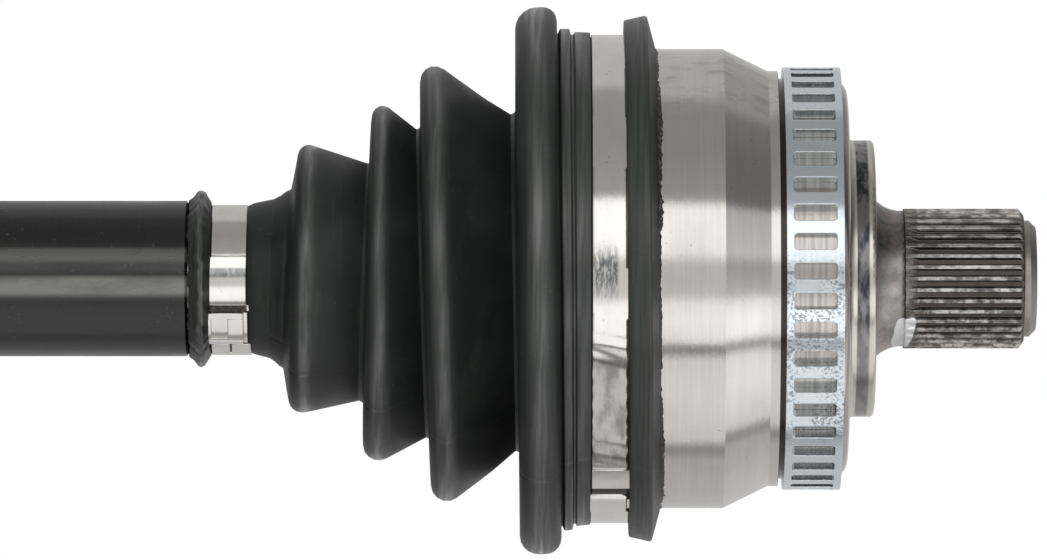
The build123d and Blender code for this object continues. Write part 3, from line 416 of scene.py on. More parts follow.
class Finish:
    """A material and the nodes it is built from."""

    name = "finish"
    metallic = 0.0
    specular = 0.5

    def __init__(self, effects: Effects) -> None:
        """Build the material from the shared node groups."""
        self.effects = effects
        self.material = bpy.data.materials.new("finish_" + self.name)
        self.material.use_nodes = True
        self.sheet = Sheet(self.material.node_tree)
        nodes = self.material.node_tree.nodes
        self.surface = next(node for node in nodes if node.type == "BSDF_PRINCIPLED")
        self.surface.inputs["Metallic"].default_value = self.metallic
        self.surface.inputs["Specular IOR Level"].default_value = self.specular
        self.place = self.find_place()
        axle = self.sheet.group(effects.axle, Place=self.place)
        self.radius, self.up, self.side = (
            self.sheet.out(axle, name) for name in ("Radius", "Up", "Side")
        )
        self.dress()

    def find_place(self) -> Value:
        """Place of a point in the object's own space."""
        return self.sheet.out(self.sheet.node("ShaderNodeTexCoord"), "Object")

    def dress(self) -> None:
        """Write the colour, roughness and relief."""

    def set(self, **inputs: object) -> None:
        """Feed the surface shader; underscores in the names stand for spaces."""
        for name, value in inputs.items():
            self.sheet.feed(self.surface.inputs[name.replace("_", " ")], value)

    def marks(self, lines: float, breaks: float, offset: float = 0.0) -> Value:
        """Turning marks at this material's place.

        Args:
            lines: lines per millimetre.
            breaks: how often a line changes round the axle.
            offset: shift that makes each set differ.

        Returns:
            Their height.
        """
        inputs = dict(Place=self.place, Lines=lines, Breaks=breaks, Offset=offset)
        return self.sheet.out(self.sheet.group(self.effects.turning, **inputs))

    def zone(self, start: float, end: float, blur: float = 0.05) -> Value:
        """Mask of a stretch of the axle, with soft edges as wide as the blur."""
        inputs = dict(Place=self.place, From=start, To=end, Blur=blur)
        return self.sheet.out(self.sheet.group(self.effects.zone, **inputs))

    def specks(self, size: float, share: float) -> Value:
        """Mask of sparse specks of a size in millimetres; the share runs from 0 to 1."""
        inputs = dict(Place=self.place, Size=size, Share=share)
        return self.sheet.out(self.sheet.group(self.effects.specks, **inputs))

    def edges(self, radius: float, gain: float = 4.0) -> tuple[Value, Value]:
        """Mask of the edges and the normal that rounds them.

        Args:
            radius: radius of the rounding.
            gain: how fast the mask rises.

        Returns:
            The mask and the normal.
        """
        made = self.sheet.group(self.effects.wear, Radius=radius, Gain=gain)
        return self.sheet.out(made, "Mask"), self.sheet.out(made, "Normal")


class JointSteel(Finish):
    """Wheel-side joint: ground bell, polished seal seat, tinted fillet and dark splined stub."""

    name = "forged_steel"
    metallic = 1.0
    shoulder = (-20.6, -5.75)
    groove = (-20.6, -19.3)
    seat = (-5.75, -0.05)
    # Stretches of the axle lightened as a painted highlight.
    highlight_rims = ((-1.3, -0.3, 0.5), (-5.9, -4.3, 0.3))
    fillet = (-0.05, 6.1)
    run_out = (5.9, 8.8, 0.6)
    stub = (6.0, 40.0, 0.5)
    end_boss = (32.0, 40.0, 0.2)
    dab_centre = (6.2, -11.5)
    dab_half = (2.15, 3.1)
    dab_lean = 0.25
    white = (0.93, 0.94, 0.95)
    edge_abrasion_and_highlight_colour = (0.80, 0.78, 0.75)
    rim_painted_highlight = (0.72, 0.69, 0.63)
    # Near-black painted shade for the groove beside the ring.
    groove_painted_shade = (0.05, 0.045, 0.04)
    boss = (0.34, 0.325, 0.31)

    def paint_dab(self) -> Value:
        """White paint on the fillet: a leaning round-cornered patch whose outline a noise distorts.

        It covers |along / half|^5 + |up / half|^5 + noise < 1 on the camera's side.
        """
        sheet = self.sheet
        x, y, z = sheet.split(sheet.scaled(self.place, 1000, 1000, 1000))
        ragged = (sheet.noise(self.place, 420.0, 4.0, 0.6) - 0.5) * 2.0
        up = z - self.dab_centre[1]
        along = x - (up * self.dab_lean + self.dab_centre[0])
        far = abs(up / self.dab_half[1]) ** 5.0 + abs(along / self.dab_half[0]) ** 5.0 + ragged
        return sheet.ramp(far, 0.85, 1.05, 1.0, 0.0) * sheet.maths("LESS_THAN", y, 0.0)

    def bell_colour(self, tone: Value, smudge: Value) -> Value:
        """Ground steel with smudges and spots, and a painted dark reflection in scribbled patches over the
        top.
        """
        sheet = self.sheet
        scribble = sheet.noise(sheet.scaled(self.place, 0.45, 1.0, 1.0), 260.0, 5.0, 0.7)
        # Painted dark reflection: the top of the bell is darkened in scribbled patches.
        top_dark_reflection = sheet.ramp(self.up, 0.62, 0.88) * sheet.ramp(scribble, 0.48, 0.66) * 0.35
        bell = sheet.mix(sheet.ramp(tone, 0.3, 0.7), (0.60, 0.58, 0.55), (0.645, 0.62, 0.595))
        bell = sheet.mix(smudge * 0.3, bell, (0.44, 0.43, 0.41))
        bell = sheet.mix(top_dark_reflection, bell, (0.22, 0.205, 0.185))
        return sheet.mix(self.specks(1.4, 0.12) * 0.4, bell, (0.16, 0.14, 0.12))

    def seat_colour(self) -> Value:
        """Seal seat with painted dark reflections in upright streaks, and a painted light reflection
        underneath.
        """
        sheet = self.sheet
        # Painted reflection: near-black bluish streaks stand in for dark surroundings mirrored in the
        # polished seat.
        seat_dark_reflection = sheet.noise(sheet.scaled(self.place, 1.5, 1.0, 0.35), 330.0, 3.0, 0.6)
        seat = sheet.mix(sheet.ramp(seat_dark_reflection, 0.42, 0.60), (0.045, 0.05, 0.06), (0.21, 0.205, 0.195))
        # Painted light reflection: the underside of the seat is lightened.
        return sheet.mix(sheet.ramp(self.up, -0.2, -0.5, 0.0, 0.55), seat, (0.40, 0.38, 0.36))

    def fillet_colour(self) -> Value:
        """Blotchy fillet, brighter from just above the axle downwards."""
        sheet = self.sheet
        blotch = sheet.ramp(sheet.noise(self.place, 620.0, 4.0, 0.65), 0.30, 0.70)
        tint = sheet.mix(blotch, (0.15, 0.15, 0.15), (0.30, 0.265, 0.25))
        return sheet.mix(sheet.ramp(self.up, 0.48, 0.25, 0.0, 0.24), tint, (0.62, 0.56, 0.50))

    def spline_colour(self) -> Value:
        """Dark spline with bare chipped crests, darker patches that grow stronger underneath, and a plain
        boss at its end.
        """
        sheet = self.sheet
        chips = sheet.noise(sheet.scaled(self.place, 0.5, 1.0, 1.0), 520.0, 4.0, 0.65)
        crest = sheet.ramp(self.radius, 14.0, 14.85)
        crest = crest * sheet.blend(sheet.ramp(chips, 0.42, 0.62), 1.0, 0.15)
        crest = crest * sheet.blend(self.zone(*self.run_out), 1.0, 0.4)
        # Darker patches everywhere, stronger toward the underside.
        dark_patches = sheet.ramp(sheet.noise(self.place, 420.0, 5.0, 0.75), 0.46, 0.58)
        dark_patches = dark_patches * sheet.ramp(self.up, 0.35, -0.45, 0.25, 0.85)
        spline = sheet.mix(crest, (0.095, 0.08, 0.07), (0.62, 0.59, 0.56))
        spline = sheet.mix(dark_patches, spline, (0.075, 0.06, 0.052))
        return sheet.mix(self.zone(*self.end_boss), spline, self.boss)

    def dress(self) -> None:
        """Write the colour, roughness and relief of each zone."""
        sheet = self.sheet
        fine = self.marks(9.0, 5.0)
        broad = self.marks(1.6, 1.5, 40.0)
        smudge = sheet.ramp(sheet.noise(self.place, 60.0, 4.0, 0.6), 0.45, 0.75)
        edge, normal = self.edges(0.25)
        stub, fillet, sealing = (self.zone(*span) for span in (self.stub, self.fillet, self.seat))
        step = sheet.mix(sheet.ramp(broad, 0.3, 0.7), (0.36, 0.33, 0.30), (0.54, 0.52, 0.49))
        colour = sheet.mix(self.zone(*self.shoulder), self.bell_colour(broad, smudge), step)
        # Painted shade: the groove between the bell and the ring is darkened almost to black.
        colour = sheet.mix(self.zone(*self.groove), colour, self.groove_painted_shade)
        colour = sheet.mix(sealing, colour, self.seat_colour())
        # Painted highlight on the two rims at the ends of the seal seat.
        highlight_rims = sheet.maths("ADD", *(self.zone(*rim) for rim in self.highlight_rims), clamp=True)
        colour = sheet.mix(highlight_rims * 0.8, colour, self.rim_painted_highlight)
        colour = sheet.mix(fillet, colour, self.fillet_colour())
        colour = sheet.mix(stub, colour, self.spline_colour())
        dab = self.paint_dab()
        # Lightened edges: partly abrasion, partly painted highlight.
        colour = sheet.mix(edge * 0.35, colour, self.edge_abrasion_and_highlight_colour)
        colour = sheet.mix(dab, colour, self.white)
        rough = sheet.ramp(fine, 0.2, 0.8, 0.10, 0.15)
        rough = sheet.blend(smudge, rough, rough + 0.06)
        for mask, level in ((sealing, 0.20), (fillet, 0.28), (stub, 0.38), (dab, 0.5)):
            rough = sheet.blend(mask, rough, level)
        streaks = sheet.noise(sheet.scaled(self.place, 4.0, 1.0, 1.0), 700.0, 3.0, 0.6)
        relief = sheet.bump(fine, 0.06, 0.02, normal)
        relief = sheet.bump(streaks, 0.40, 0.035, relief)
        relief = sheet.bump(sheet.noise(self.place, 700.0, 4.0, 0.7) * stub, 0.4, 0.2, relief)
        relief = sheet.bump(sheet.noise(self.place, 120.0, 2.0, 0.5), 0.15, 0.2, relief)
        self.set(Base_Color=colour, Roughness=rough, Metallic=1.0 - dab, Normal=relief)


class ZincPlate(Finish):
    """Bluish zinc with a darker mottle, strong from just above the axle's height to low on the flank, faint
    elsewhere.
    """

    name = "zinc_plate"
    metallic = 1.0

    def dress(self) -> None:
        """Write the colour, roughness and relief."""
        sheet = self.sheet
        cloud = sheet.noise(self.place, 90.0, 3.0, 0.5)
        grain = sheet.noise(self.place, 1500.0, 4.0, 0.7)
        # Darker mottle placed by height round the axle: strong below the axle's height, faint elsewhere.
        patch = sheet.band(self.up, (-0.82, -0.70), (0.02, 0.12)) * sheet.ramp(self.radius, 40.5, 42.0)
        patch = sheet.ramp(cloud, 0.36, 0.52) * sheet.blend(patch, 0.10, 1.0)
        dark = sheet.ramp(grain, 0.47, 0.60) * sheet.blend(patch, 0.0, 0.85)
        edge, normal = self.edges(0.35, 5.0)
        colour = sheet.mix(cloud, (0.66, 0.73, 0.77), (0.78, 0.83, 0.86))
        colour = sheet.mix(dark, colour, (0.20, 0.225, 0.255))
        self.set(
            # Edges lightened partly as abrasion and partly as painted highlight.
            Base_Color=sheet.mix(edge * 0.5, colour, (0.90, 0.93, 0.95)),
            Roughness=sheet.ramp(grain, 0.3, 0.7, 0.10, 0.22),
            Normal=sheet.bump(grain * patch, 0.4, 0.06, normal),
        )


class StripSteel(Finish):
    """Bright stainless strip of the clamps with shallow waves and rolled grain."""

    name = "clamp_steel"
    metallic = 1.0
    lower_band_colour = (0.27, 0.25, 0.235)
    painted_reflection_colour = (0.12, 0.145, 0.155)
    mouth_reflection_span = (-59.3, -55.3, 1.0)
    neck_reflection_span = (-141.5, -133.0, 0.3)

    def painted_reflection_mask(self) -> Value:
        """Painted dark reflection in bluish streaks on both wheel-side clamps, near the axle's height."""
        sheet = self.sheet
        fine = sheet.noise(sheet.scaled(self.place, 1.9, 1.0, 0.5), 720.0, 5.0, 0.75)
        mouth = sheet.band(self.up, (-0.13, 0.02), (0.05, 0.17)) * self.zone(*self.mouth_reflection_span)
        neck = sheet.band(self.up, (-0.01, 0.04), (0.12, 0.16)) * self.zone(*self.neck_reflection_span)
        mouth = mouth * sheet.ramp(fine, 0.36, 0.60)
        neck = neck * sheet.ramp(fine, 0.30, 0.55, 0.35, 0.8)
        return sheet.maths("ADD", mouth, neck, clamp=True)

    def dress(self) -> None:
        """Write the colour, roughness and relief."""
        sheet = self.sheet
        waves = sheet.noise(sheet.scaled(self.place, 1.0, 0.45, 0.45), 330.0, 3.0, 0.55)
        grain = self.marks(14.0, 8.0, 9.0)
        normal = self.edges(0.15)[1]
        # Darker mottled band below the axle's height, on both sides of the mouth clamps.
        drawn = sheet.band(self.up, (-0.78, -0.72), (-0.36, -0.29)) * sheet.ramp(self.radius, 30.0, 40.0)
        drawn = drawn * sheet.ramp(waves, 0.35, 0.6, 1.0, 0.55)
        colour = sheet.mix(waves, (0.66, 0.635, 0.60), (0.80, 0.775, 0.745))
        colour = sheet.mix(self.specks(0.5, 0.16) * 0.6, colour, (0.20, 0.17, 0.15))
        colour = sheet.mix(drawn, colour, self.lower_band_colour)
        self.set(
            # Painted dark reflection at the axle's height on the wheel-side clamps.
            Base_Color=sheet.mix(self.painted_reflection_mask() * 0.95, colour, self.painted_reflection_colour),
            Roughness=sheet.ramp(grain, 0.2, 0.8, 0.07, 0.13),
            Normal=sheet.bump(grain, 0.10, 0.008, sheet.bump(waves, 0.22, 0.16, normal)),
        )


class BlackPaint(Finish):
    """Satin black paint with fine lines round the shaft, scuffed specks and two painted highlight streaks
    on the camera's side.
    """

    name = "black_paint"
    specular = 0.62
    streak_highlight_colour = (0.165, 0.165, 0.155)

    def dress(self) -> None:
        """Write the colour, roughness and relief."""
        sheet = self.sheet
        lines = self.marks(2.6, 2.0, 3.0)
        wide = sheet.noise(sheet.scaled(self.place, 0.3, 1.0, 1.0), 220.0, 4.0, 0.65)
        # Painted highlight: two lighter streaks along the shaft on the camera's side, one just below the
        # axle's height and a fainter one above.
        upper = sheet.ramp(self.up, 0.18, 0.26) * sheet.ramp(self.up, 0.36, 0.42, 0.3, 0.0)
        highlight_streaks = sheet.band(self.up, (-0.27, -0.16), (-0.02, 0.06)) + upper
        highlight_streaks = highlight_streaks * sheet.ramp(wide, 0.25, 0.6, 0.6, 1.0)
        highlight_streaks = highlight_streaks * sheet.maths("LESS_THAN", self.side, 0.0)
        colour = sheet.mix(
            sheet.ramp(lines, 0.3, 0.7), (0.0020, 0.0015, 0.0014), (0.0050, 0.0042, 0.0038)
        )
        colour = sheet.mix(self.specks(0.7, 0.2) * 0.4, colour, (0.10, 0.085, 0.07))
        relief = sheet.bump(wide, 0.35, 0.12, sheet.bump(lines, 0.20, 0.03))
        relief = sheet.bump(sheet.noise(self.place, 900.0, 2.0, 0.6), 0.3, 0.03, relief)
        self.set(
            Base_Color=sheet.mix(highlight_streaks, colour, self.streak_highlight_colour),
            Roughness=sheet.ramp(wide, 0.3, 0.7, 0.22, 0.34),
            Normal=relief,
        )


class BootRubber(Finish):
    """Charcoal rubber of the gaiters with a dusty bloom and a faint grain."""

    name = "boot_rubber"
    specular = 0.36

    def find_place(self) -> Value:
        """Place at rest, kept on the mesh as an attribute."""
        kept = self.sheet.node("ShaderNodeAttribute", attribute_name=REST_PLACE)
        return self.sheet.out(kept, "Vector")

    def dress(self) -> None:
        """Write the colour, roughness and relief."""
        sheet = self.sheet
        cloud = sheet.ramp(sheet.noise(self.place, 55.0, 4.0, 0.6), 0.35, 0.75)
        bloom = sheet.ramp(self.marks(0.7, 1.4, 20.0), 0.5, 0.8)
        scuff_and_highlight = sheet.out(sheet.node("ShaderNodeAttribute", attribute_name=SCUFF_AND_HIGHLIGHT), "Fac")
        scuff = sheet.ramp(self.marks(1.1, 2.4, 33.0), 0.35, 0.65, 0.35, 1.0)
        crest = sheet.maths("MULTIPLY", scuff_and_highlight, scuff, clamp=True)
        colour = sheet.mix(cloud, (0.0110, 0.0135, 0.0118), (0.0200, 0.0230, 0.0208))
        colour = sheet.mix(bloom * 0.5, colour, (0.040, 0.043, 0.039))
        colour = sheet.mix(self.specks(1.0, 0.2) * 0.25, colour, (0.07, 0.07, 0.065))
        # Lighter crests, mouth and end bead: partly scuffing, partly painted highlight.
        colour = sheet.mix(crest * 0.7, colour, (0.075, 0.078, 0.073))
        relief = sheet.bump(self.marks(2.2, 1.2, 60.0), 0.15, 0.05)
        relief = sheet.bump(sheet.noise(self.place, 1800.0, 2.0, 0.5), 0.2, 0.02, relief)
        self.set(
            Base_Color=colour,
            Roughness=sheet.ramp(cloud, 0.0, 1.0, 0.42, 0.52),
            Coat_Weight=crest,
            Coat_Roughness=0.23,
            Coat_IOR=1.65,
            Normal=relief,
        )


class SealRubber(BootRubber):
    """The gaiters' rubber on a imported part, which keeps no place at rest."""

    name = "seal_rubber"

    def find_place(self) -> Value:
        """Place of a point in the object's own space."""
        return Finish.find_place(self)


class Grease(Finish):
    """Dark grease and rubber flash pressed out at the gaiter's mouth."""

    name = "grease"

    def dress(self) -> None:
        """Write the colour, roughness and relief."""
        sheet = self.sheet
        lumps = sheet.noise(self.place, 900.0, 4.0, 0.7)
        self.set(
            Base_Color=sheet.mix(
                sheet.ramp(lumps, 0.45, 0.7), (0.014, 0.012, 0.010), (0.11, 0.09, 0.07)
            ),
            Roughness=sheet.ramp(lumps, 0.3, 0.7, 0.25, 0.6),
            Normal=sheet.bump(lumps, 0.6, 0.15),
        )


@dataclass(frozen=True)
class SteelLook:
    """Colours of a plain steel part that only shows from the other sides or inside."""

    name: str
    dark: Colour
    light: Colour
    low_rough: float
    high_rough: float
    lines: float
    metallic: float = 1.0


class PlainSteel(Finish):
    """Machined or forged steel with turning marks, and edges brightened partly as abrasion and partly as
    painted highlight.
    """

    def __init__(self, effects: Effects, look: SteelLook) -> None:
        """Build the material for one look."""
        self.look = look
        self.name = look.name
        self.metallic = look.metallic
        super().__init__(effects)

    def dress(self) -> None:
        """Write the colour, roughness and relief."""
        sheet, look = self.sheet, self.look
        marks = self.marks(look.lines, 3.0, 11.0)
        tone = marks * 0.5 + sheet.noise(self.place, 120.0, 4.0, 0.6) * 0.5
        edge, normal = self.edges(0.3)
        bright = tuple(min(0.9, 1.25 * part) for part in look.light)
        colour = sheet.mix(sheet.ramp(tone, 0.35, 0.65), look.dark, look.light)
        relief = sheet.bump(marks, 0.25, 0.03, normal)
        self.set(
            # Edges lightened partly as abrasion and partly as painted highlight.
            Base_Color=sheet.mix(edge * 0.5, colour, bright),
            Roughness=sheet.ramp(tone, 0.3, 0.7, look.low_rough, look.high_rough),
            Normal=sheet.bump(sheet.noise(self.place, 900.0, 3.0, 0.6), 0.1, 0.05, relief),
        )


STEEL_LOOKS = (
    SteelLook("bearing_steel", (0.42, 0.41, 0.40), (0.60, 0.59, 0.58), 0.16, 0.28, 6.0),
    SteelLook("ball_steel", (0.62, 0.62, 0.62), (0.72, 0.72, 0.72), 0.05, 0.10, 2.0),
    SteelLook("spring_steel", (0.16, 0.15, 0.15), (0.28, 0.27, 0.26), 0.28, 0.42, 5.0),
    SteelLook("housing_steel", (0.30, 0.29, 0.28), (0.46, 0.45, 0.43), 0.32, 0.48, 2.5),
    SteelLook("thrust_plastic", (0.55, 0.53, 0.46), (0.64, 0.62, 0.55), 0.40, 0.50, 2.0, 0.0),
)


@dataclass(frozen=True)
class Corner:
    """Corner of an outline: place along the axle or from a mouth, radius, and rounding."""

    along: float
    out: float
    rounding: float = 0.0


def corners(*steps: tuple[float, ...]) -> list[Corner]:
    """Corners from tuples of place, radius and, where they are round, rounding."""
    return [Corner(*step) for step in steps]


def arc(point: np.ndarray, u: np.ndarray, v: np.ndarray, rounding: float, room: float) -> np.ndarray:
    """Points of the arc that rounds a corner.

    The two sides leave the corner along unit vectors u and v with the angle a between them. The
    arc touches both at the distance radius / tan(a / 2), round a centre on the bisector at
    radius / sin(a / 2).

    Args:
        point: the corner.
        u: direction back along the outline.
        v: direction on along the outline.
        rounding: radius wanted.
        room: longest distance from the corner to the touching points.

    Returns:
        The arc's points, or the corner alone where the outline is nearly straight.
    """
    half = math.acos(max(-1.0, min(1.0, float(u @ v)))) / 2
    if half > HALF_TURN / 2 - NEARLY:
        return point[None]
    touch = min(rounding / math.tan(half), room)
    middle = (u + v) / np.linalg.norm(u + v)
    centre = point + middle * touch * math.tan(half) / math.sin(half)
    start = point + u * touch - centre
    end = point + v * touch - centre
    turn = np.linspace(0, 1, ARC_STEPS + 1)[:, None]
    sweep = HALF_TURN - 2 * half
    return centre + (np.sin((1 - turn) * sweep) * start + np.sin(turn * sweep) * end) / math.sin(sweep)


def rounded(path: list[Corner], following: Corner) -> np.ndarray:
    """Open outline with round corners and divided straight runs; its ends stay sharp.

    Args:
        path: corners in order.
        following: corner that the outline goes on to, used for the last straight run.

    Returns:
        Points as an array of (along, out).
    """
    points = np.array([(corner.along, corner.out) for corner in path], float)
    pieces = [points[:1]]
    for number, corner in enumerate(path[1:-1], 1):
        point = points[number]
        before, after = points[number - 1] - point, points[number + 1] - point
        lengths = np.linalg.norm(before), np.linalg.norm(after)
        if corner.rounding > 0:
            room = SIDE_SHARE * min(lengths)
            pieces.append(arc(point, before / lengths[0], after / lengths[1], corner.rounding, room))
        else:
            pieces.append(point[None])
    pieces.append(points[-1:])
    outline = []
    for piece, after in zip(pieces, pieces[1:] + [np.array([(following.along, following.out)], float)]):
        run = after[0] - piece[-1]
        count = int(np.linalg.norm(run) // OUTLINE_STEP)
        shares = np.arange(1, count + 1)[:, None] / (count + 1)
        outline += [piece, piece[-1] + shares * run]
    return np.concatenate(outline)


def clipped(points: np.ndarray, start: float, end: float) -> np.ndarray:
    """Part of an open outline between two distances, with a point on each of them.

    Args:
        points: the outline.
        start: smallest distance kept.
        end: largest distance kept.

    Returns:
        The points kept and those where the outline crosses a limit.
    """
    kept = []
    for number, point in enumerate(points):
        if start <= point[0] <= end:
            kept.append(point)
        for after in points[number + 1 : number + 2]:
            for limit in (start, end):
                if (point[0] - limit) * (after[0] - limit) < 0:
                    kept.append(point + (after - point) * (limit - point[0]) / (after[0] - point[0]))
    return np.array(kept)


@dataclass(frozen=True)
class Patch:
    """Grid of points that becomes a closed surface: stations, then the points of a section."""

    points: np.ndarray
    closed_along: bool = False
    capped: bool = False
    scuff_and_highlight: np.ndarray | None = None

    def faces(self) -> list[list[int]]:
        """Corner numbers of the faces, turned so that they point outwards.

        The volume under the faces, the sum of a · (b x c) / 6 over their triangles, is positive
        when they point outwards, and the order of the corners is turned round where it is not.

        Returns:
            One list of corners for each face.
        """
        stations, around = self.points.shape[:2]
        index = np.arange(stations * around).reshape(stations, around)
        beside = np.roll(index, -1, axis=1)
        quads = np.stack(
            (index, beside, np.roll(beside, -1, axis=0), np.roll(index, -1, axis=0)), axis=-1
        )
        if not self.closed_along:
            quads = quads[:-1]
        quads = quads.reshape(-1, 4)
        flat = self.points.reshape(-1, 3)
        a, b, c, d = (flat[quads[:, corner]] - flat.mean(axis=0) for corner in range(4))
        volume = np.einsum("ij,ij->", a, np.cross(b, c)) + np.einsum("ij,ij->", a, np.cross(c, d))
        faces = quads.tolist()
        if self.capped:
            faces += [index[0][::-1].tolist(), index[-1].tolist()]
        if volume < 0:
            faces = [face[::-1] for face in faces]
        return faces


def skin(name: str, patches: list[Patch], material: bpy.types.Material) -> bpy.types.Object:
    """One piece from closed surfaces, smooth with sharp edges kept.

    Args:
        name: name of the piece.
        patches: its surfaces in millimetres.
        material: its finish.

    Returns:
        The new object.
    """
    flats, faces, count = [], [], 0
    for patch in patches:
        flats.append(patch.points.reshape(-1, 3) * MM)
        faces += [[corner + count for corner in face] for face in patch.faces()]
        count += len(flats[-1])
    mesh = bpy.data.meshes.new(name)
    mesh.from_pydata(np.concatenate(flats).tolist(), [], faces)
    mesh.polygons.foreach_set("use_smooth", np.ones(len(mesh.polygons), bool))
    mesh.set_sharp_from_angle(angle=math.radians(SHARP_ANGLE))
    mesh.update()
    mesh.materials.append(material)
    return placed(name, mesh)


def placed(name: str, data: bpy.types.ID) -> bpy.types.Object:
    """New object of the scene from a mesh, a camera or a light."""
    made = bpy.data.objects.new(name, data)
    bpy.context.scene.collection.objects.link(made)
    return made


def on_circle(along: np.ndarray, radius: np.ndarray, azimuth: np.ndarray) -> np.ndarray:
    """Points from places along the axle, radii and azimuths in radians."""
    return np.stack((along, radius * np.sin(azimuth), radius * np.cos(azimuth)), axis=-1)


def wander(angle: np.ndarray, seed: int, *waves: int) -> np.ndarray:
    """Smooth repeatable wandering round a circle: a sum of sines with seeded phases.

    Args:
        angle: angles in radians.
        seed: seed of the phases.
        waves: waves per turn of each sine.

    Returns:
        Values between about -1 and 1.
    """
    draw = np.random.default_rng(seed)
    phases = draw.uniform(0, FULL_TURN, len(waves))
    sizes = draw.uniform(0.5, 1.0, len(waves))
    total = sum(
        size * np.sin(wave * angle + phase) for size, wave, phase in zip(sizes, waves, phases)
    )
    return total / sizes.sum()


def away(angle: np.ndarray, degrees: float) -> np.ndarray:
    """Shortest turn from an azimuth in degrees to angles in radians."""
    return (angle - math.radians(degrees) + HALF_TURN) % FULL_TURN - HALF_TURN


def hill(value: np.ndarray, top: float, width: float) -> np.ndarray:
    """Bell curve of height 1 round a value."""
    return np.exp(-(((value - top) / width) ** 2))


def keep_rest_place(piece: bpy.types.Object, patch: Patch) -> None:
    """Store each vertex's place at rest and its mask of scuffing and painted highlight, for the rubber's
    pattern.

    Args:
        piece: the gaiter.
        patch: the one patch it was made from.
    """
    mesh = piece.data
    place = np.zeros(len(mesh.vertices) * 3, np.float32)
    mesh.vertices.foreach_get("co", place)
    mesh.attributes.new(REST_PLACE, "FLOAT_VECTOR", "POINT").data.foreach_set("vector", place)
    scuff_and_highlight = patch.scuff_and_highlight.astype(np.float32).ravel()
    mesh.attributes.new(SCUFF_AND_HIGHLIGHT, "FLOAT", "POINT").data.foreach_set("value", scuff_and_highlight)


@dataclass(frozen=True)
class Fold:
    """One fold of a gaiter: a cone up to a round crest, then a flat face down to the foot."""

    crest: float
    foot: float
    face: float
    rounding: float
    slant: float = 0.0
    inset: float = 0.4

    @property
    def heel(self) -> float:
        """Place where the face meets the foot."""
        return self.face + self.slant

    def slope(self, start: tuple[float, float]) -> float:
        """Rise of the cone, which starts at a point and touches the crest's circle.

        Seen from the circle's centre, the touching point lies at the start's direction less the
        angle acos(rounding / reach).

        Args:
            start: place and radius where the cone starts.

        Returns:
            Rise per length, very large where the cone is upright.
        """
        centre = (self.face - self.rounding, self.crest - self.rounding)
        reach = math.hypot(start[0] - centre[0], start[1] - centre[1])
        lean = math.atan2(start[1] - centre[1], start[0] - centre[0]) % FULL_TURN
        normal = lean - math.acos(self.rounding / reach)
        across = centre[0] + self.rounding * math.cos(normal) - start[0]
        up = centre[1] + self.rounding * math.sin(normal) - start[1]
        return up / max(across, TINY)

    def outside(self, start: tuple[float, float]) -> list[Corner]:
        """Corners over the fold, from where its cone starts to the crease behind its face."""
        slope = self.slope(start)
        top = start[1] + slope * (self.face - start[0])
        tops = corners((self.face, top, self.rounding))
        if slope > STEEP:
            upright = (start[0], self.crest, self.rounding)
            tops = corners(upright, (self.face, self.crest, self.rounding))
        return [*tops, Corner(self.heel, self.foot + self.inset, 0.5)]

    def inside(self, start: tuple[float, float], wall: float) -> list[Corner]:
        """Corners under the fold, back to where its cone starts.

        Args:
            start: place and radius where the cone starts.
            wall: thickness of the rubber.

        Returns:
            Corners from the foot of the face to the start of the cone.
        """
        slope = self.slope(start)
        face, crest = self.face - wall, self.crest - wall
        bend = max(0.3, self.rounding - wall)
        foot = (self.heel - wall, self.foot - wall)
        if slope > STEEP:
            near = start[0] + wall
            return corners(foot, (face, crest, bend), (near, crest, bend), (near, start[1]))
        low = start[1] - wall * math.hypot(1, slope)
        top = (face, low + slope * (face - start[0]), bend)
        return corners(foot, top, (start[0] + self.inset, low + slope * self.inset))


@dataclass(frozen=True)
class Lobes:
    """Cross-section of the tripod housing that the inner gaiter's mouth is filled out to."""

    half: float = 24.05
    top: float = 36.93
    rounding: float = 9.03
    round_part: float = 27.05

    def radius(self, azimuth: np.ndarray) -> np.ndarray:
        """Radius of the cross-section in a direction.

        Each lobe is a rectangle from the axle to its top with rounded tips. A ray leaves it
        through the top, a side or the arc of a tip, and the section is the largest of the three
        lobes and a circle.

        Args:
            azimuth: directions in radians.

        Returns:
            Radii in millimetres.
        """
        result = np.full(azimuth.shape, self.round_part)
        corner = np.array((self.top - self.rounding, self.half - self.rounding))
        for turn in (90, 210, 330):
            angle = np.abs(away(azimuth, turn))
            ahead = angle < HALF_TURN / 2 - NEARLY
            cos, sin = np.cos(np.where(ahead, angle, 0.5)), np.sin(np.where(ahead, angle, 0.5))
            through_top = self.top / cos
            through_side = self.half / np.maximum(sin, TINY)
            middle = corner[0] * cos + corner[1] * sin
            apart = np.maximum(self.rounding**2 - (corner @ corner - middle**2), 0)
            through_tip = middle + np.sqrt(apart)
            side_or_tip = np.where(through_side * cos <= corner[0], through_side, through_tip)
            reach = np.where(through_top * sin <= corner[1], through_top, side_or_tip)
            result = np.where(ahead, np.maximum(result, reach), result)
        return result


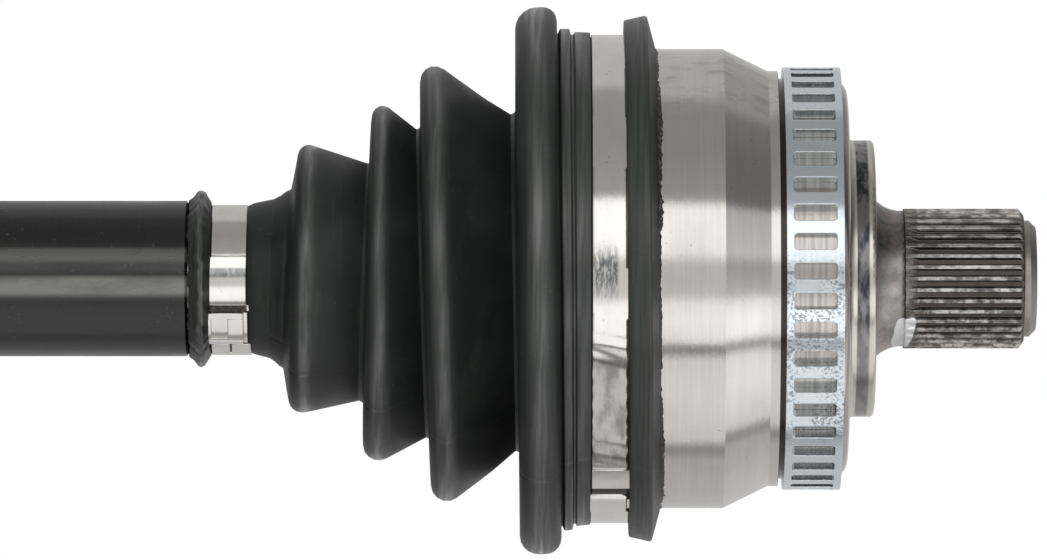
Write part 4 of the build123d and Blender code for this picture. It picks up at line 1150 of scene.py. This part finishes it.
@dataclass
class Gaiter:
    """Rubber gaiter: an outline turned about the axle, slightly askew, with two mould lines."""

    mouth_x: float
    heading: int
    mouth: list[Corner]
    crevice: tuple[float, float]
    folds: list[Fold]
    seat_from: float
    inner_mouth: list[Corner]
    lean: tuple[tuple[float, float], ...]
    sag: tuple[tuple[float, float], ...]
    seed: int
    lobed_to: float = -1.0
    mouth_scuff_and_highlight: tuple[tuple[float, float], ...] = (
        (1.0, 0.0), (2.0, 0.35), (6.0, 0.30), (7.0, 0.0),
        (14.2, 0.0), (14.8, 0.6), (20.2, 0.6), (20.8, 0.0),
    )
    rubber: float = 2.3
    crease: float = 0.9
    bore: float = 13.53
    mould_azimuths: tuple[float, float] = (44.0, 224.0)
    ridge_height: float = 0.14
    ridge_width: float = 0.25
    ovality: float = 0.18
    ovality_twist: float = 0.09
    bead_swell: float = 0.22
    bead_stray: float = 0.4
    columns: int = 240

    def starts(self) -> list[tuple[float, float]]:
        """Place and radius where the cone of each fold starts, and where the neck starts."""
        return [self.crevice] + [(fold.heel + self.crease, fold.foot) for fold in self.folds]

    def outside(self) -> list[Corner]:
        """Outline over the mouth, the folds and the narrow end."""
        path = [*self.mouth, Corner(*self.crevice, 0.5)]
        starts = self.starts()
        for fold, start, after in zip(self.folds, starts, starts[1:]):
            path += [*fold.outside(start), Corner(*after, 0.3)]
        return path + corners(*((self.seat_from + along, *rest) for along, *rest in NECK))

    def inside(self) -> list[Corner]:
        """Outline back from the narrow end under the folds to the mouth."""
        last = self.folds[-1].heel
        bore = self.bore
        path = corners((self.seat_from + NECK[-1][0], bore), (last + 4.6, bore), (last + 2.3, bore + 2.4))
        for fold, start in zip(reversed(self.folds), reversed(self.starts()[:-1])):
            path += fold.inside(start, self.rubber)
        return path + self.inner_mouth

    def azimuths(self) -> np.ndarray:
        """Even columns with finer ones beside the mould lines, in radians."""
        even = np.linspace(0, 360, self.columns, endpoint=False)
        moulds = np.array(self.mould_azimuths)[:, None]
        clear = np.min(np.abs(even - moulds), axis=0) > CLEAR_OF_MOULD
        return np.radians(np.sort(np.concatenate((even[clear], (moulds + BESIDE_MOULD).ravel()))))

    def scuff_and_highlight_at(self, s: np.ndarray) -> np.ndarray:
        """Mask of scuffing and painted highlight on the outside at a distance: the mouth, the crests and
        the end bead.
        """
        scuff_and_highlight = 0.8 * hill(s, self.seat_from + 10.0, 1.5) + np.interp(s, *zip(*self.mouth_scuff_and_highlight))
        for fold in self.folds:
            scuff_and_highlight = scuff_and_highlight + hill(s, fold.face - fold.rounding, 0.42 * fold.rounding)
        return scuff_and_highlight

    def surface(self, start: float = -1.0, end: float = 200.0) -> Patch:
        """Points of the gaiter between two distances from its mouth.

        A point of the outline at distance s and radius r goes to radius r plus the ridge of the
        mould line and a slight ovality. Its place along the axle moves by lean(s) times the
        cosine of the azimuth, and its height by sag(s).

        Args:
            start: smallest distance kept.
            end: largest distance kept.

        Returns:
            The patch, with the azimuths as stations.
        """
        outside = clipped(rounded(self.outside(), self.inside()[0]), start, end)
        inside = clipped(rounded(self.inside(), self.outside()[0]), start, end)
        s, r = np.concatenate((outside, inside)).T[:, None]
        angle = self.azimuths()[:, None]
        outer = np.arange(s.size)[None] < len(outside)
        ridge = 0.0
        for azimuth in self.mould_azimuths:
            ridge = ridge - self.ridge_height * hill(away(angle, azimuth) * r, 0.0, self.ridge_width)
        free = np.interp(s, (self.crevice[0] - 5, self.crevice[0] + 6), (0, 1))
        free = free * np.interp(s, (self.seat_from - 6, self.seat_from - 2), (1, 0))
        oval = np.sin(2 * angle + self.ovality_twist * s + self.seed)
        radius = r + ridge * outer + self.ovality * free * oval
        if self.lobed_to > 0:
            radius = np.where(outer | (s > self.lobed_to), radius, Lobes().radius(angle))
        bead = np.interp(s, (self.seat_from + 7.8, self.seat_from + 9.5), (0, 1)) * outer
        radius = radius + self.bead_swell * bead * wander(angle, self.seed, 3, 8, 17, 29)
        lean = np.interp(s, *zip(*self.lean)) * np.cos(angle)
        lean = lean + self.bead_stray * bead * wander(angle, self.seed + 1, 2, 5, 9, 21, 37)
        points = on_circle(self.mouth_x + self.heading * s + lean, radius, angle)
        points[..., 2] += np.interp(s, *zip(*self.sag))
        scuff_and_highlight = np.broadcast_to(self.scuff_and_highlight_at(s) * outer, radius.shape)
        return Patch(points, closed_along=True, scuff_and_highlight=scuff_and_highlight)


NECK = (
    (-6.4, 17.9, 0.8), (-5.1, 17.1, 0.8), (-1.3, 16.1, 0.5), (0.0, 15.5, 0.2), (7.7, 15.5, 0.2),
    (7.8, 16.3, 0.2), (9.2, 18.5, 0.5), (10.3, 18.9, 0.8), (11.4, 17.4, 0.4), (12.4, 16.7, 0.5),
)
WHEEL_GAITER = Gaiter(
    mouth_x=-46.1,
    heading=-1,
    mouth=corners(
        (0.0, 49.03), (0.0, 49.7, 0.3), (1.75, 56.2, 0.6), (6.6, 55.1, 0.4), (6.6, 51.55, 0.1),
        (14.3, 51.55, 0.1), (14.3, 52.5, 0.2), (17.3, 52.75, 0.25), (17.7, 52.2, 0.2),
        (18.1, 52.25, 0.2), (18.4, 53.5, 0.35), (20.3, 53.65, 0.5),
    ),
    crevice=(20.9, 51.9),
    folds=[
        Fold(58.5, 36.0, 29.8, 4.45),
        Fold(46.3, 32.7, 49.4, 3.3),
        Fold(37.7, 25.2, 61.8, 2.8),
        Fold(28.5, 18.8, 77.1, 2.6, slant=1.8),
    ],
    seat_from=87.3,
    inner_mouth=corners((21.8, 49.03), (14.0, 49.03), (14.0, 47.53), (6.9, 47.53), (6.9, 49.03)),
    lean=(
        (0, -0.53), (6.7, -0.53), (7.0, 0), (15, 0), (20, -0.5), (30, -0.5), (46, -1.39),
        (49.4, -1.17), (59, 0.53), (62.2, 0.96), (74, 0.64), (78, 1.0), (86, 0),
    ),
    sag=((15, 0), (27, -0.55), (36, -1.3), (46, -1.07), (59, -0.96), (75, 0)),
    seed=3,
)
GEARBOX_GAITER = Gaiter(
    mouth_x=-460.0,
    heading=1,
    mouth=corners(
        (0.0, 47.4), (0.8, 48.19, 0.3), (3.8, 48.19, 0.3), (3.8, 45.59, 0.1), (11.8, 45.59, 0.1),
        (11.8, 48.19, 0.3), (19.2, 48.19, 0.5),
    ),
    crevice=(20.4, 45.59),
    folds=[
        Fold(48.8, 36.4, 29.4, 3.6),
        Fold(43.6, 32.6, 46.4, 3.2),
        Fold(37.2, 25.8, 62.2, 2.8),
        Fold(29.8, 18.4, 76.6, 2.6),
    ],
    seat_from=86.1,
    inner_mouth=corners((21.4, 42.6), (19.3, 40.0), (0.0, 40.0)),
    lean=((20, 0), (30, 0.3), (47, -0.3), (63, 0.35), (78, 0.2), (84, 0)),
    sag=((20, 0), (30, -0.3), (47, -0.5), (63, -0.4), (80, 0)),
    seed=8,
    lobed_to=19.35,
    rubber=1.6,
    mould_azimuths=(70.0, 250.0),
)


def strip(table: np.ndarray) -> Patch:
    """Plate bent round the axle, with bevelled edges and ends.

    Args:
        table: cross-sections by rising azimuth, joined straight: azimuth in degrees, the places
            of the two edges and the two radii.

    Returns:
        The closed surface.
    """
    turn = math.degrees(BEVEL / table[0, 4])
    first, last = table[0].copy(), table[-1].copy()
    table[[0, -1], 4] -= BEVEL
    first[0] += turn
    last[0] -= turn
    table = np.concatenate((table[:1], first[None], table[1:-1], last[None], table[-1:]))
    stops = table[:, 0]
    azimuths = np.unique(np.concatenate((stops, np.arange(stops[0], stops[-1], STRIP_STEP))))
    left, right, low, high = (np.interp(azimuths, stops, table[:, part]) for part in range(1, 5))
    along = np.stack((left, left, left + BEVEL, right - BEVEL, right, right), axis=1)
    out = np.stack((low, high - BEVEL, high, high, high - BEVEL, low), axis=1)
    return Patch(on_circle(along, out, np.radians(azimuths)[:, None]), capped=True)


@dataclass
class Clamp:
    """Strip clamp round a gaiter: places along the axle are counted from its middle."""

    name: str
    node: str
    body: Body
    middle_x: float
    seat: float
    seed: int

    left_edge = -3.8
    sunk = 0.05
    edge_drop = 0.12
    drawn = (214, 222, 252, 262)
    dent_waves = 86

    def plate(self, low: float, *rows: tuple[float, float, float, float]) -> Patch:
        """Plate from rows of (azimuth, left, right, high) over one inner height."""
        table = np.array([(azimuth, left, right, low, high) for azimuth, left, right, high in rows])
        return strip(table + (0, self.middle_x, self.middle_x, self.seat, self.seat))

    def hoop(self, right_edge: float, height: float, dents: float) -> Patch:
        """Band that runs all round, with shallow slanting dents where it was drawn tight.

        At azimuth a and share u across the band the top is lowered by dents * e(a) * (0.5 + 0.5 *
        sin(86 a + 3 u + wander)), where e(a) rises to 1 between azimuths 222 and 252 degrees.

        Args:
            right_edge: edge toward the wheel.
            height: height of its top over the seat.
            dents: depth of the dents.

        Returns:
            The closed surface.
        """
        left, right = self.middle_x + self.left_edge, self.middle_x + right_edge
        low, high = self.seat - self.sunk, self.seat + height
        turn = np.radians(np.arange(0, 360, 0.75))[:, None]
        share = np.linspace(0.02, 0.98, 12)
        envelope = np.interp(np.degrees(turn), self.drawn, (0, 1, 1, 0))
        loose = 0.12 * wander(turn, self.seed, 3, 7, 11)
        waves = np.sin(self.dent_waves * turn + 3 * share + 2 * wander(turn, self.seed + 1, 13, 29))
        top = high - dents * (envelope * (0.5 + 0.5 * waves) + loose)
        grid = np.broadcast_to(left + share * (right - left), top.shape)
        side = np.ones(len(turn))
        along = np.column_stack((left * side, left * side, grid, right * side, right * side))
        base, edge = low * side, (high - self.edge_drop) * side
        out = np.column_stack((base, edge, top, edge, base))
        return Patch(on_circle(along, out, turn), closed_along=True)

    def steel(self) -> list[Patch]:
        """Surfaces of the strip and its buckle."""
        raise NotImplementedError

    def shade(self) -> list[Patch]:
        """Dark floors of the slots, laid as painted shade."""
        raise NotImplementedError

    def build(self, finishes: dict[str, bpy.types.Material]) -> None:
        """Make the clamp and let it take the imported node's place.

        Args:
            finishes: materials by name.
        """
        # The slots' dark floors are painted shade, in the grease finish.
        parts = ((self.name, self.steel(), Slot.STRIP.value), (self.name + "_slot", self.shade(), "grease"))
        for name, patches, finish in parts:
            piece = skin(name, patches, finishes[finish])
            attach(piece, self.body.value)
            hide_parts(self.node)
            LOG.info("%s built", name)


class WideClamp(Clamp):
    """Clamp at a gaiter's mouth: a drawn band, its doubled end, a hook plate and two ears."""

    def steel(self) -> list[Patch]:
        """Surfaces of the strip and its buckle."""
        plate = self.plate
        return [
            self.hoop(3.85, 0.45, 0.11),
            plate(0.4, (212.5, -3.8, 4.6, 1.05), (216.0, -3.8, 4.6, 1.0), (219.6, -3.8, 4.6, 0.85)),
            plate(
                0.1, (199.1, -4.15, 3.6, 0.85), (203.0, -4.15, 3.6, 1.0), (206.9, -4.15, 3.6, 1.15),
                (208.4, -4.15, 3.6, 1.45), (209.6, -4.15, 3.6, 0.95),
            ),
            plate(0.2, (208.6, -4.3, -4.0, 0.9), (212.1, -4.95, -4.5, 0.75)),
            plate(0.2, (201.7, 3.5, 4.6, 0.8), (206.9, 3.5, 4.6, 0.95)),
            plate(0.3, (195.4, -0.7, -0.5, 0.75), (199.3, -1.4, -0.5, 0.86)),
            plate(0.3, (195.4, 0.5, 0.7, 0.75), (199.3, 0.5, 1.3, 0.86)),
            plate(0.8, (205.2, -0.85, -0.4, 1.2), (206.1, -0.85, -0.4, 1.2)),
            plate(0.3, (150.0, -4.0, 4.1, 0.5), (153.0, -4.0, 4.1, 0.62), (199.0, -4.0, 4.1, 0.66)),
        ]

    def shade(self) -> list[Patch]:
        """Dark floors of the slots, laid as painted shade."""
        return [self.plate(0.2, (209.3, -3.75, 3.8, 0.52), (212.7, -3.75, 3.8, 0.52))]


class NarrowClamp(Clamp):
    """Clamp at a gaiter's narrow end: a doubled band with a boxed buckle and a notched plate."""

    def steel(self) -> list[Patch]:
        """Surfaces of the strip and its buckle."""
        plate = self.plate
        return [
            self.hoop(3.8, 0.25, 0.06),
            plate(0.2, (249.3, -4.3, 3.7, 0.72), (270.0, -4.2, 3.7, 0.62), (287.0, -3.9, 3.8, 0.55)),
            plate(0.2, (287.6, -3.7, 3.8, 0.5), (319.5, -3.6, 3.85, 0.42)),
            plate(0.1, (238.8, -4.7, 3.1, 1.25), (243.5, -4.7, 3.1, 1.15)),
            plate(0.1, (217.5, -4.7, -3.7, 1.25), (238.8, -4.7, -3.7, 1.25)),
            plate(0.1, (217.5, -0.2, 3.1, 1.25), (238.8, -0.2, 3.1, 1.25)),
            plate(0.1, (212.7, -4.7, 3.1, 1.1), (217.5, -4.7, 3.1, 1.25)),
            plate(0.1, (217.2, -3.8, -0.1, 0.5), (239.0, -3.8, -0.1, 0.5)),
            plate(0.1, (212.7, 3.1, 4.0, 0.75), (243.5, 3.1, 4.0, 0.75)),
            plate(0.1, (195.0, -3.8, 0.1, 0.85), (211.6, -3.8, 0.1, 0.95)),
            plate(0.1, (195.0, 0.5, 4.6, 0.85), (211.6, 0.5, 4.6, 0.95)),
            plate(0.1, (150.0, -3.8, 4.6, 0.5), (165.0, -3.8, 4.6, 0.8), (195.2, -3.8, 4.6, 0.86)),
            plate(0.1, (244.5, -5.0, -4.3, 0.7), (249.5, -4.9, -4.3, 0.7)),
            plate(0.1, (244.5, 3.8, 4.4, 0.6), (249.5, 3.8, 4.3, 0.6)),
        ]

    def shade(self) -> list[Patch]:
        """Dark floors of the slots, laid as painted shade."""
        return [
            self.plate(0.1, (243.2, -4.2, 3.7, 0.42), (249.6, -4.2, 3.7, 0.42)),
            self.plate(0.1, (211.4, -4.2, 3.7, 0.42), (212.9, -4.2, 3.7, 0.42)),
            self.plate(0.1, (195.0, 0.05, 0.55, 0.42), (211.5, 0.05, 0.55, 0.42)),
        ]


CLAMPS = (
    WideClamp("wheel_mouth_clamp", "outer_boot_large_clamp", Body.BELL, -56.4, 51.55, 5),
    NarrowClamp("wheel_neck_clamp", "outer_boot_small_clamp", Body.SHAFT, -137.2, 15.5, 6),
    WideClamp("gearbox_mouth_clamp", "inner_boot_large_clamp", Body.HOUSING, -452.2, 45.59, 7),
    NarrowClamp("gearbox_neck_clamp", "inner_boot_small_clamp", Body.SHAFT, -370.0, 15.5, 8),
)


def mouth_flash() -> Patch:
    """Ragged ring of rubber flash and grease on the bell beside the gaiter's mouth.

    Its width wanders about 0.32 mm in many waves and swells round the azimuths 312 and 215.

    Returns:
        The closed surface.
    """
    turn = np.radians(np.arange(0, 360, 0.5))
    swell = sum(size * hill(np.degrees(turn), at, spread) for at, spread, size in FLASH_SWELLS)
    ragged = wander(turn, 12, 5, 13, 29, 61, 113, 167, 251)
    ragged = ragged * (0.5 + 0.5 * wander(turn, 21, 3, 7, 17))
    width = np.clip(0.32 + 0.65 * swell + 0.9 * ragged, 0.08, 1.9)
    edge = -46.25 - 0.53 * np.cos(turn)
    along = np.stack(
        (edge - 0.3, edge - 0.3, edge + 0.1 + 0.5 * width, edge + 0.2 + width, edge + 0.1 + width),
        axis=1,
    )
    out = np.broadcast_to((48.9, 49.5, 49.22, 49.04, 48.9), along.shape)
    return Patch(on_circle(along, out, turn[:, None]), closed_along=True)


BANDS = (
    (-180, 0.60), (-104, 0.60), (-97, 0.36), (-93, 0.36), (-89, 0.90), (-60, 1.02), (-40, 0.95),
    (-37.5, 0.26), (-34, 0.25), (-32, 1.22), (-20, 1.32), (-12, 1.26), (-8, 0.74), (8, 0.72),
    (12, 1.40), (26, 1.48), (36, 1.42), (40, 0.42), (70, 0.34), (98, 0.36), (106, 0.58), (180, 0.60),
)
FADE = (
    (-1.0, 0.10), (-0.85, 0.22), (-0.5, 0.60), (-0.2, 1.0), (0.2, 1.0), (0.5, 0.9), (0.78, 0.85),
    (0.9, 0.6), (1.0, 0.4),
)


@dataclass
class Studio:
    """Camera, white ground and plain soft light."""

    centre_x: float = -74.6
    centre_z: float = -0.3
    distance: float = 2400.0
    frame_width: float = 223.5
    sensor: float = 36.0
    floor_z: float = -420.0
    floor_half: float = 6000.0
    lamp_angle: float = 26.0
    lamp_reach: float = 700.0
    lamp_size: tuple[float, float] = (1400.0, 260.0)
    lamp_power: float = 4.0

    def camera(self) -> None:
        """Long lens square to the axle, at its height."""
        data = bpy.data.cameras.new("camera")
        data.sensor_width = self.sensor
        data.lens = data.sensor_width * self.distance / self.frame_width
        data.clip_start = 0.05
        data.clip_end = 50.0
        made = placed("camera", data)
        made.location = (self.centre_x * MM, -self.distance * MM, self.centre_z * MM)
        made.rotation_euler = (math.radians(90), 0, 0)
        bpy.context.scene.camera = made

    def floor(self) -> None:
        """Large white floor with the object's soft shadow, below the lowest pose."""
        size, height = self.floor_half * MM, self.floor_z * MM
        mesh = bpy.data.meshes.new("floor")
        ends = ((-size, -size), (size, -size), (size, size), (-size, size))
        mesh.from_pydata([(x, y, height) for x, y in ends], [], [(0, 1, 2, 3)])
        material = bpy.data.materials.new("floor_white")
        material.use_nodes = True
        sheet = Sheet(material.node_tree)
        sheet.tree.nodes.clear()
        matt = sheet.fed("ShaderNodeBsdfDiffuse", (0.8, 0.8, 0.8))
        thin = sheet.fed("ShaderNodeBsdfDiffuse", (0.2, 0.2, 0.2))
        plain = sheet.fed("ShaderNodeEmission", (1.0, 1.0, 1.0), 0.92)
        seen = sheet.fed("ShaderNodeAddShader", thin.outputs[0], plain.outputs[0])
        path = sheet.node("ShaderNodeLightPath").outputs["Is Camera Ray"]
        mixed = sheet.fed("ShaderNodeMixShader", path, matt.outputs[0], seen.outputs[0])
        sheet.fed("ShaderNodeOutputMaterial", mixed.outputs[0])
        mesh.materials.append(material)
        made = placed("floor", mesh)
        made.visible_glossy = False

    def graded(self, sheet: Sheet, share: Value, stops: tuple[tuple[float, float], ...]) -> Value:
        """Level that changes along stops, halved because a colour ramp ends at 1.

        Args:
            sheet: the world's sheet.
            share: place between the first stop, 0, and the last, 1.
            stops: place and level of each stop.

        Returns:
            Half the level.
        """
        made = sheet.fed("ShaderNodeValToRGB", share)
        elements = made.color_ramp.elements
        first, last = stops[0][0], stops[-1][0]
        for place, _ in stops[1:-1]:
            elements.new((place - first) / (last - first))
        for element, (_, level) in zip(elements, stops):
            element.color = (level / 2, level / 2, level / 2, 1)
        return sheet.out(made)

    def world(self) -> None:
        """White to the camera; to metal, soft bands of light and shade along the axle.

        The angle is counted round the axle, 0 at the camera's side and 90 overhead, and bends a
        little for directions along the axle. The bands fade toward both ends of the axle. On the
        wheel's side they are stronger just below the axle than just above it.
        """
        world = bpy.data.worlds.new("studio")
        bpy.context.scene.world = world
        world.use_nodes = True
        sheet = Sheet(world.node_tree)
        sheet.tree.nodes.clear()
        x, y, z = sheet.split(sheet.node("ShaderNodeTexCoord").outputs["Generated"])
        angle = sheet.maths("ARCTAN2", z, x * x * 0.3 - y)
        bands = self.graded(sheet, angle * (0.5 / math.pi) + 0.5, BANDS)
        fade = self.graded(sheet, x * 0.5 + 0.5, FADE)
        toward = sheet.maths("MAXIMUM", x, 0.0) * (1.0 - abs(z)) * z
        gain = sheet.maths("MAXIMUM", toward * -2.4 + 1.0, 0.2)
        lit = sheet.product(sheet.product(bands, fade).outputs[0], gain).outputs[0]
        path = sheet.node("ShaderNodeLightPath").outputs["Is Camera Ray"]
        light = sheet.mix(path, lit, (0.25, 0.25, 0.25))
        ground = sheet.fed("ShaderNodeBackground", light, 4.0)
        sheet.fed("ShaderNodeOutputWorld", ground.outputs[0])

    def lamp(self) -> None:
        """Long soft lamp parallel to the axle, above the camera's side."""
        data = bpy.data.lights.new("key", "AREA")
        data.shape = "RECTANGLE"
        data.size, data.size_y = (side * MM for side in self.lamp_size)
        data.energy = self.lamp_power
        made = placed("key", data)
        angle, reach = math.radians(self.lamp_angle), self.lamp_reach * MM
        made.location = (self.centre_x * MM, -reach * math.cos(angle), reach * math.sin(angle))
        made.rotation_euler = (math.radians(90) - angle, 0, 0)
        made.visible_glossy = False

    def build(self) -> None:
        """Set up everything."""
        self.camera()
        self.floor()
        self.world()
        self.lamp()
        bpy.context.scene.view_settings.view_transform = "Standard"


def finish_nodes(finishes: dict[str, bpy.types.Material]) -> None:
    """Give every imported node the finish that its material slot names.

    Args:
        finishes: materials by the record's slot names.
    """
    for name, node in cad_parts.items():
        for number, slot in enumerate(node.material_slots):
            label = slot.material.name.split(".")[0]
            if name == "cover_seal":
                label = "seal_rubber"
            node.data.materials[number] = finishes[label]
        LOG.info("node %s finished", name)


def build_finishes() -> dict[str, bpy.types.Material]:
    """Every finish of the object, by name.

    Returns:
        Materials by the record's slot names, and grease.
    """
    effects = Effects()
    kinds = (JointSteel, ZincPlate, StripSteel, BlackPaint, BootRubber, SealRubber, Grease)
    made = [kind(effects) for kind in kinds]
    made += [PlainSteel(effects, look) for look in STEEL_LOOKS]
    return {finish.name: finish.material for finish in made}


def build_gaiters(rubber: bpy.types.Material) -> None:
    """Make the gaiters in place of the imported ones."""
    mouth, neck = GEARBOX_GAITER.surface(end=GAITER_SPLIT), GEARBOX_GAITER.surface(start=GAITER_SPLIT)
    gaiters = (
        ("wheel_gaiter", WHEEL_GAITER.surface(), "outer_boot", Body.BELL, Body.SHAFT, -62.0, -110.0),
        ("gearbox_gaiter_mouth", mouth, "inner_boot", Body.HOUSING, Body.SLIDER, -448.0, -419.5),
        ("gearbox_gaiter_neck", neck, "inner_boot", Body.SLIDER, Body.SHAFT, -418.8, -380.0),
    )
    for name, patch, node, first, second, start, end in gaiters:
        piece = skin(name, [patch], rubber)
        keep_rest_place(piece, patch)
        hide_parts(node)
        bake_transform(piece)
        LOG.info("%s built", name)


def main() -> None:
    """Build the studio, the finishes and the pieces in order."""
    logging.basicConfig(level=logging.INFO, format="%(message)s")
    Studio().build()
    finishes = build_finishes()
    finish_nodes(finishes)
    build_gaiters(finishes["boot_rubber"])
    for clamp in CLAMPS:
        clamp.build(finishes)
    flash = skin("mouth_flash", [mouth_flash()], finishes["grease"])
    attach(flash, Body.BELL.value)
    LOG.info("%s built", flash.name)


if __name__ == "__main__":
    main()
